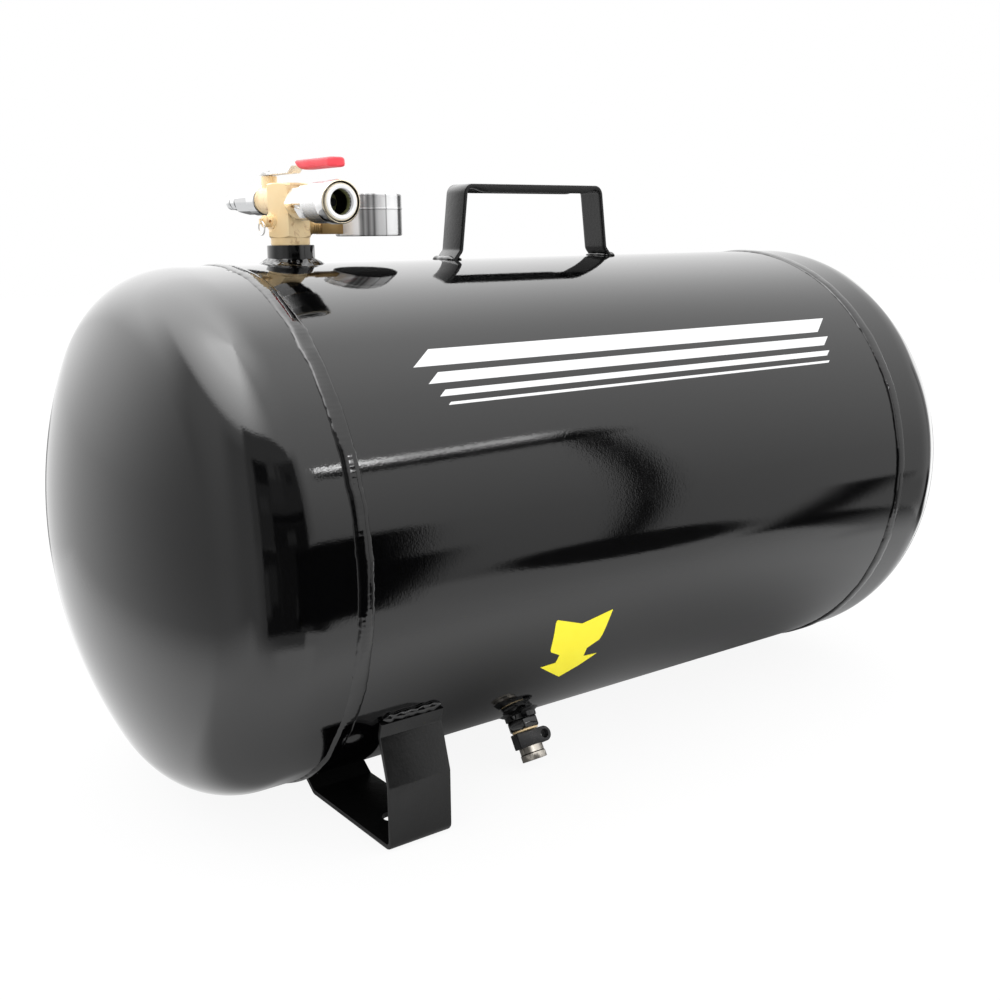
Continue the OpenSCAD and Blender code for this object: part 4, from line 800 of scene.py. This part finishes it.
def plated(name, axis=None, bore=0.0, low=0.0, brim=0.0):
    """Bright plating, with painted reflection and shade: dark on faces that look down, bright on faces that
    look up.
    Within the bore radius round an axis along Y it is dark, a painted shade; below the low height it is dark
    too, a painted shade, and beyond the brim, along -Y, it has a warm tint."""
    material, tree, shader = new_material(name, bumps=((0.06, 0.00006, 300, 1),), Metallic=1.0)
    upward = (facing_up(tree) + 1.0) * 0.5
    # Painted reflection and shade: dark on faces that look down, bright on faces that look sideways and up
    tone = tree.ramp(upward, (0.0, 0.04), (0.075, 0.06), (0.19, 0.40), (0.25, 0.72), (0.37, 0.74),
        (0.45, 0.92), (0.955, 0.94), (0.985, 0.62))
    tone = tree.mix(tree.rise(grain(tree, 40), 0.3, 0.7, 0.0, 0.08), tone, (0.55, 0.56, 0.58))
    rough = tree.rise(upward, 0.6, 0.85, 0.07, 0.42)
    _, y, z = tree.split(tree.place())
    # Painted shade: greyer and then dark below the low height
    if low:
        tone = tree.mix(tree.rise(z, low + 0.0052, low + 0.0062, 0.75, 0.0), tone, (0.55, 0.56, 0.57))
        tone = tree.mix(tree.rise(z, low, low + 0.0005, 1.0, 0.0), tone, 0.09)
    if brim:
        tone = tree.mix(tree.rise(y, brim, brim - 0.0004), tone, (0.93, 0.83, 0.64))
    # Painted shade: dark and rougher within the bore
    if bore:
        painted_bore_shade = tree.rise(from_axis(tree, axis), bore, bore + 0.00015, 1.0, 0.0)
        if brim:
            painted_bore_shade = painted_bore_shade * tree.rise(y, brim + 0.007, brim + 0.0065)
        tone = tree.mix(painted_bore_shade, tone, (0.020, 0.020, 0.021))
        rough = rough + painted_bore_shade * 0.35
    tree.put(shader["Base Color"], tone)
    tree.put(shader["Roughness"], rough)
    return material


chrome = plated("bright_plate_painted_light")
zinc = new_material("zinc_plate", ((0.86, 0.86, 0.85), (0.95, 0.95, 0.94)), (150, 3), (0.24, 0.36), (400, 3),
    ((0.2, 0.00005, 1200, 2, (1, 0.1, 1)),), Metallic=0.5)[0]
white_seal = new_material("white_seal", ((0.82, 0.82, 0.78), (0.90, 0.90, 0.87)), (200,), Roughness=0.45)[0]
dress(white_seal, "ball_seats", "stem_packing")
dress(chrome, "valve_ball")
dress(zinc, "valve_stem", "lever", edge=0.00015)

vinyl = new_material("red_vinyl", ((0.84, 0.050, 0.072), (0.88, 0.070, 0.092)), (45, 3), (0.36, 0.48), (260,),
    ((0.15, 0.0002, 350), (0.2, 0.0006, 60, 1)), IOR=1.42)[0]
stem_y, grip_level = 0.0235, 0.36295
grip_start, grip_end, grip_width, grip_thick, grip_slant = 0.040, 0.084, 0.0104, 0.0056, 0.008
tip_length, lip_length = 0.0052, 0.0012
run, rings = grip_end - grip_start, 34
rows = []
for i in range(rings):
    share = 1 - (1 - i / (rings - 1)) ** 1.6
    tip = sqrt(max(0.0, 1 - max(0.0, 1 - (1 - share) * run / tip_length) ** 2)) * 0.96 + 0.04
    lip = 1 - 0.10 * max(0.0, 1 - share * run / lip_length)
    row = []
    for a in around(32):
        c, d = cos(a), sin(a)
        sideways = copysign(abs(c) ** 0.55, c) * grip_width / 2 * tip * lip
        lift = copysign(abs(d) ** 0.60, d) * grip_thick / 2 * (0.55 + 0.45 * tip) * lip
        first = grip_start + grip_slant * (1 - lift / (grip_thick / 2)) / 2
        wave = 0.00012 * noise.noise(Vector((a * 0.8, share * 5, 2)))
        row.append((riser_x + sideways + wave, stem_y - (first + (grip_end - first) * share),
            grip_level + lift - abs(wave)))
    rows.append(row)
add_piece("grip_sleeve", rows_mesh(rows), vinyl, "valve_lever", "lever_grip", crisp=50)

# -------------------- Inlet plug
# A plated steel quick plug closes the valve's outer end. Its round skirt screws over the housing,
# and its hexagon and ringed nose take the filling hose.
valve_axis = (riser_x, 0, 0.345)
passage = 0.0028


def hex_reach(flat, a):
    """How far a hexagon reaches at an angle from one of its corners; flat is the distance to its sides."""
    return flat / cos(a % (pi / 3) - pi / 6)


def hexagon(width, low, high, faces, slopes, origin, along, start):
    """A hexagon along an axis, with one corner towards start. At each end a cone, with that slope,
    takes the corners off down to that face radius."""
    def shape(k, a):
        if k not in (2, 3):
            return 0.0, 0.0
        grown = hex_reach(width / 2, a) - faces[k - 2]
        return grown, grown * slopes[k - 2] * (1 if k == 2 else -1)

    profile = [(passage, low)] + [(faces[0], low)] * 2 + [(faces[1], high)] * 2 + [(passage, high)]
    return turned(profile, origin, along, 96, start, shape)


skirt = [(0.0066, 0.0284), (0.0081, 0.0284), (0.0086, 0.0290), (0.0086, 0.0384), (0.0079, 0.0394),
    (0.0066, 0.0394)]
nose = [(passage, 0.0590), (0.0041, 0.0590), (0.0041, 0.0625), (0.0048, 0.0626), (0.0052, 0.0630),
    (0.0052, 0.0680), (0.0048, 0.0686), (0.0041, 0.0688), (0.0041, 0.0699), (0.0046, 0.0701), (0.0047, 0.0703),
    (0.0047, 0.0754), (0.0045, 0.0760), (0.0040, 0.0762), (passage, 0.0762)]
hex_turn = radians(14)
plug = joined([turned(skirt, valve_axis, (0, 1, 0), 120), turned(nose, valve_axis, (0, 1, 0)),
    hexagon(0.0142, 0.0388, 0.0600, (0.0068, 0.0047), (0.3, 1.1), valve_axis, (0, 1, 0),
        (-cos(hex_turn), 0, sin(hex_turn)))])
# The plug's plating is darker towards its bottom: painted shade
plug_plate_painted_light = plated("plug_plate_painted_light", low=0.3386)
add_piece("quick_plug", plug, plug_plate_painted_light, replaces="inlet_plug", edge=0.00015)

# -------------------- Quick coupler
# The hose coupler is plated steel. Its sleeve has a knurled band and slides back from the mouth, where a
# bright nickel ring lies in it. Within are the lock balls, a dark olive seal and a poppet, which is dark with
# the bore's painted shade.
coupler_axis = (riser_x, -0.0115, 0.3422)
# Both platings are dark within the bore: painted shade
bore_plate = plated("coupler_plate_painted_light", coupler_axis, 0.00705)
sleeve_plate_painted_light = plated("sleeve_plate_painted_light", coupler_axis, 0.01072, brim=-0.0603)
spindle = [(passage, -0.007), (0.00658, -0.007), (0.00658, 0.0005), (0.0084, 0.0005), (0.0084, 0.0188),
    (0.0094, 0.0188), (0.0094, 0.0205), (0.0084, 0.0205), (0.0084, 0.0480), (0.0070, 0.0480), (0.0070, 0.0453),
    (0.0068, 0.0452), (0.0068, 0.0303), (0.0057, 0.0302), (0.0057, 0.013), (passage, 0.013)]
spindle = joined([turned(spindle, coupler_axis, (0, -1, 0), 120),
    hexagon(0.0168, 0.0, 0.0120, (0.0078, 0.0080), (0.62, 0.62), coupler_axis, (0, -1, 0), (1, 0, 0))])
add_piece("coupler_spindle", spindle, bore_plate, replaces="coupler_body", edge=0.00015)

knurl_low, knurl_high, knurl_rows = 0.0246, 0.0402, 64
knurl_depth, knurl_flat, knurls, knurl_pitch = 0.00022, 0.75, 60, 860
hex_corner, brim_radius, brim_start = 0.0102, 0.01175, 0.0484
outside = [(0.00865, 0.0162), (0.00865, 0.0122), (0.0093, 0.0122), (0.0093, 0.0128), (0.0093, 0.0214),
    (0.0106, 0.0221), (0.0111, 0.0230), (0.0111, 0.0244)]
first_row = len(outside)
outside += [(0.0111, knurl_low + (knurl_high - knurl_low) * i / knurl_rows) for i in range(knurl_rows + 1)]
last_row = len(outside) - 1
outside += [(0.0111, 0.0404), (0.01165, 0.0409), (brim_radius, 0.0414), (brim_radius, brim_start)]
outside += [(brim_radius - 0.0009 * (1 - cos(a)), brim_start + 0.0014 * sin(a))
    for a in (radians(20), radians(40), radians(60), radians(80))]
outside += [(0.01085, 0.0498), (0.0107, 0.0495), (0.0107, 0.0450), (0.0096, 0.0446), (0.0096, 0.0410),
    (0.00845, 0.0410), (0.00845, 0.0395), (0.0098, 0.0395), (0.0098, 0.0230), (0.00845, 0.0230),
    (0.00845, 0.0162)]


def sleeve_shape(k, a):
    """The hexagon at the sleeve's back, with its corners taken off, and the crossed grooves of its knurl."""
    radius, distance = outside[k]
    if k < 5:
        return min(hex_reach(radius, a), hex_corner if k == 2 else 1) - radius, 0.0
    if not first_row < k < last_row:
        return 0.0, 0.0
    turn, slant = a * knurls / (2 * pi), (distance - knurl_low) * knurl_pitch
    one, two = (abs((way % 1) - 0.5) * 2 for way in (turn + slant, turn - slant))
    return knurl_depth * (min(one, two, knurl_flat) - 0.6), 0.0


add_piece("sleeve", turned(outside, coupler_axis, (0, -1, 0), 360, (1, 0, 0), sleeve_shape), sleeve_plate_painted_light,
    "coupler_sleeve", "coupler_sleeve", crisp=24, edge=0.0001)

ring_nickel, tree, shader = new_material("bright_nickel", rough=(0.42, 0.52), rough_spots=(300,),
    Metallic=0.25)
outer_part = tree.rise(from_axis(tree, coupler_axis), 0.00925, 0.00940)
tree.put(shader["Base Color"], tree.mix(outer_part, 0.97, (0.96, 0.86, 0.66)))
ring = [(0.0070, 0.0458), (0.0084, 0.0458), (0.0084, 0.0484), (0.0099, 0.0484), (0.01005, 0.0487),
    (0.0096, 0.0497), (0.00945, 0.0498), (0.00930, 0.0494), (0.00915, 0.0494), (0.00900, 0.0502),
    (0.00885, 0.0503), (0.0073, 0.0503), (0.0071, 0.0502), (0.0070, 0.0499)]
add_piece("mouth_ring", turned(ring, coupler_axis, (0, -1, 0), 144), ring_nickel, crisp=28,
    edge=0.00008)

olive = new_material("olive_elastomer", ((0.10, 0.105, 0.04), (0.17, 0.175, 0.075)), (300,),
    bumps=((0.2, 0.0001, 900),), Roughness=0.4)[0]
lining = [(0.0071, 0.0434), (0.0069, 0.0434), (0.0067, 0.0437), (0.0067, 0.0461), (0.0069, 0.0464),
    (0.0071, 0.0464)]
add_piece("mouth_lining", turned(lining, coupler_axis, (0, -1, 0), 120), olive)
dress(zinc, "sleeve_spring", "poppet_spring", flat=0)
dress(bore_plate, "lock_balls")
dress(olive, "coupler_seal", edge=0.0002)
dress(bore_plate, "coupler_poppet", flat=0)

# -------------------- Pressure gauge
# A 40 mm dial gauge lies face up on a square brass socket. Its case and bezel are pressed from bright
# steel; under the lens are a white dial with plain numbers and a black pointer.
dull_brass = new_material("dull_brass", ((0.30, 0.19, 0.07), (0.44, 0.29, 0.12)), (90, 3), Metallic=0.6,
    Roughness=0.38)[0]
dress(dull_brass, "gauge_socket", edge=0.0002)
dress(brass, "gauge_movement", "pressure_tube", flat=0)

gauge_x, gauge_z, gauge_turn = -0.1162, 0.3238, radians(210.6)
gauge_plate_painted_light, tree, shader = new_material("gauge_plate_painted_light", Metallic=0.2, Roughness=0.12)
x, y, _ = tree.split(tree.place())
turn = (tree.math("ARCTAN2", y, x - gauge_x) + gauge_turn) / pi
# Painted reflections: light and dark stripes round the gauge's axis, and painted shade on faces that look down
painted_reflections = tree.ramp(turn, (0.0, 0.4), (0.08, 0.6), (0.15, 0.90), (0.40, 0.95), (0.425, 0.30), (0.45, 0.12),
    (0.47, 0.34), (0.50, 0.12), (0.53, 0.38), (0.555, 0.10), (0.575, 0.46), (0.60, 0.64), (0.665, 0.70),
    (0.675, 0.22), (0.688, 0.92), (0.75, 0.96), (0.82, 0.94), (0.838, 0.14), (0.95, 0.06), (1.0, 0.3))
painted_reflections = tree.mix(tree.rise(facing_up(tree), -0.6, -0.9), painted_reflections, 0.02)
tree.put(shader["Base Color"], tree.mix(tree.rise(grain(tree, 40), 0.3, 0.7, 0.0, 0.06), painted_reflections, 0.5))
case = [(0.0, 0.0), (0.0180, 0.0)] + arc((0.0188, 0.0012), 0.0012, -90, 0, 6)
case += [(0.0200, 0.0154), (0.0192, 0.0154), (0.0192, 0.0222), (0.0184, 0.0222), (0.0184, 0.0008),
    (0.0, 0.0008)]
bezel = [(0.0192, 0.0154)] + arc((0.0200, 0.01575), 0.00035, -90, 60, 5)
bezel += [(0.0200, 0.0166), (0.0200, 0.0230)] + arc((0.0188, 0.0232), 0.0012, 0, 90, 6)
bezel += [(0.0174, 0.0244), (0.0170, 0.0242), (0.0170, 0.0236), (0.0192, 0.0236)]
for name, node, profile, edge in (("case_cup", "gauge_case", case, 0.0001),
        ("bezel_ring", "gauge_bezel", bezel, 0.00008)):
    made = turned(profile, (gauge_x, 0, gauge_z), (0, 0, 1), 192)
    add_piece(name, made, gauge_plate_painted_light, replaces=node, edge=edge)

glass = new_material("clear_lens", rough=(0.0, 0.02), rough_spots=(200,), Base_Color=(0.95, 0.98, 0.98, 1),
    Transmission_Weight=1.0, IOR=1.49)[0]
rubber = new_material("black_rubber", (0.012, 0.022), (300,), Roughness=0.6)[0]
enamel = new_material("white_enamel", ((0.86, 0.86, 0.84), (0.90, 0.90, 0.88)), (200,), Roughness=0.4)[0]
ink = new_material("black_enamel", (0.010, 0.018), (400,), Roughness=0.35)[0]
for material, name in ((glass, "gauge_lens"), (rubber, "gauge_gasket"), (enamel, "gauge_dial")):
    dress(material, name)
dress(ink, "gauge_pointer", edge=0.00005)

# The dial's printed scale: thin bars, longer and wider at each fifth one, and seven even numbers
dial_top = gauge_z + 0.0184
scale_start, scale_outer, number_radius = 225, 0.0158, 0.0107
bars = []
for i in range(61):
    a = radians(scale_start - i * 4.5)
    inner, half = (0.0143, 0.00011) if i % 5 else (0.0133, 0.00025)
    out, sideways = Vector((cos(a), sin(a), 0)), Vector((-sin(a), cos(a), 0))
    corners = [out * r + sideways * w
        for r, w in ((inner, -half), (scale_outer, -half), (scale_outer, half), (inner, half))]
    bars.append(rows_mesh([[Vector((gauge_x, 0, dial_top + lift)) + c for c in corners]
        for lift in (-0.00002, 0.00005)]))
add_piece("dial_marks", joined(bars), ink)
numbers = []
for i in range(7):
    a = radians(scale_start - i * 45)
    text = bpy.data.curves.new("number", "FONT")
    text.body, text.size, text.extrude = str(i * 2), 0.0038, 0.00003
    text.align_x = text.align_y = "CENTER"
    holder = in_scene("number", text)
    holder.location = (gauge_x + number_radius * cos(a), number_radius * sin(a), dial_top + 0.00002)
    number = finished(holder)
    number.transform(holder.matrix_world)
    numbers.append(number)
    bpy.data.objects.remove(holder)
    bpy.data.curves.remove(text)
add_piece("dial_numbers", joined(numbers), ink)

# -------------------- Relief valve
# A small brass relief valve sits in the riser's outer side. Pulling its wire ring lifts the stem.
dress(brass, "relief_body", "relief_stem", flat=0)
dress(zinc, "relief_spring", "pull_ring", flat=0)

# -------------------- Drain cock
# A black bushing reduces the drain bung to a small brass cock. Its black coated tab and nickel-plated
# spout turn together and let the water out.
dress(powder_coat, "drain_bushing", edge=0.0003)
dress(brass, "drain_body", edge=0.0002)
black_plate = new_material("black_plate", ((0.010, 0.010, 0.011), (0.022, 0.022, 0.023)), (150, 3),
    (0.25, 0.4), (300,), ((0.2, 0.0001, 600),))[0]
dress(black_plate, "drain_tab", edge=0.0005)
nickel, tree, shader = new_material("warm_nickel", Metallic=1.0, Roughness=0.3)
spout, seam_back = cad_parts["drain_spout"], 0.0041
seam = max((spout.matrix_world @ v.co).dot(drain_out) for v in spout.data.vertices) - seam_back
depth = tree.add("ShaderNodeVectorMath", tree.place(), drain_out, operation="DOT_PRODUCT").outputs["Value"]
line = tree.between(depth, seam - 0.0004, seam + 0.0003, 0.0001)
tone = tree.mix(grain(tree, 50), (0.56, 0.52, 0.46), (0.66, 0.62, 0.56))
tree.put(shader["Base Color"], tree.mix(line, tone, (0.05, 0.045, 0.04)))
dress(nickel, "drain_spout", edge=0.0003)
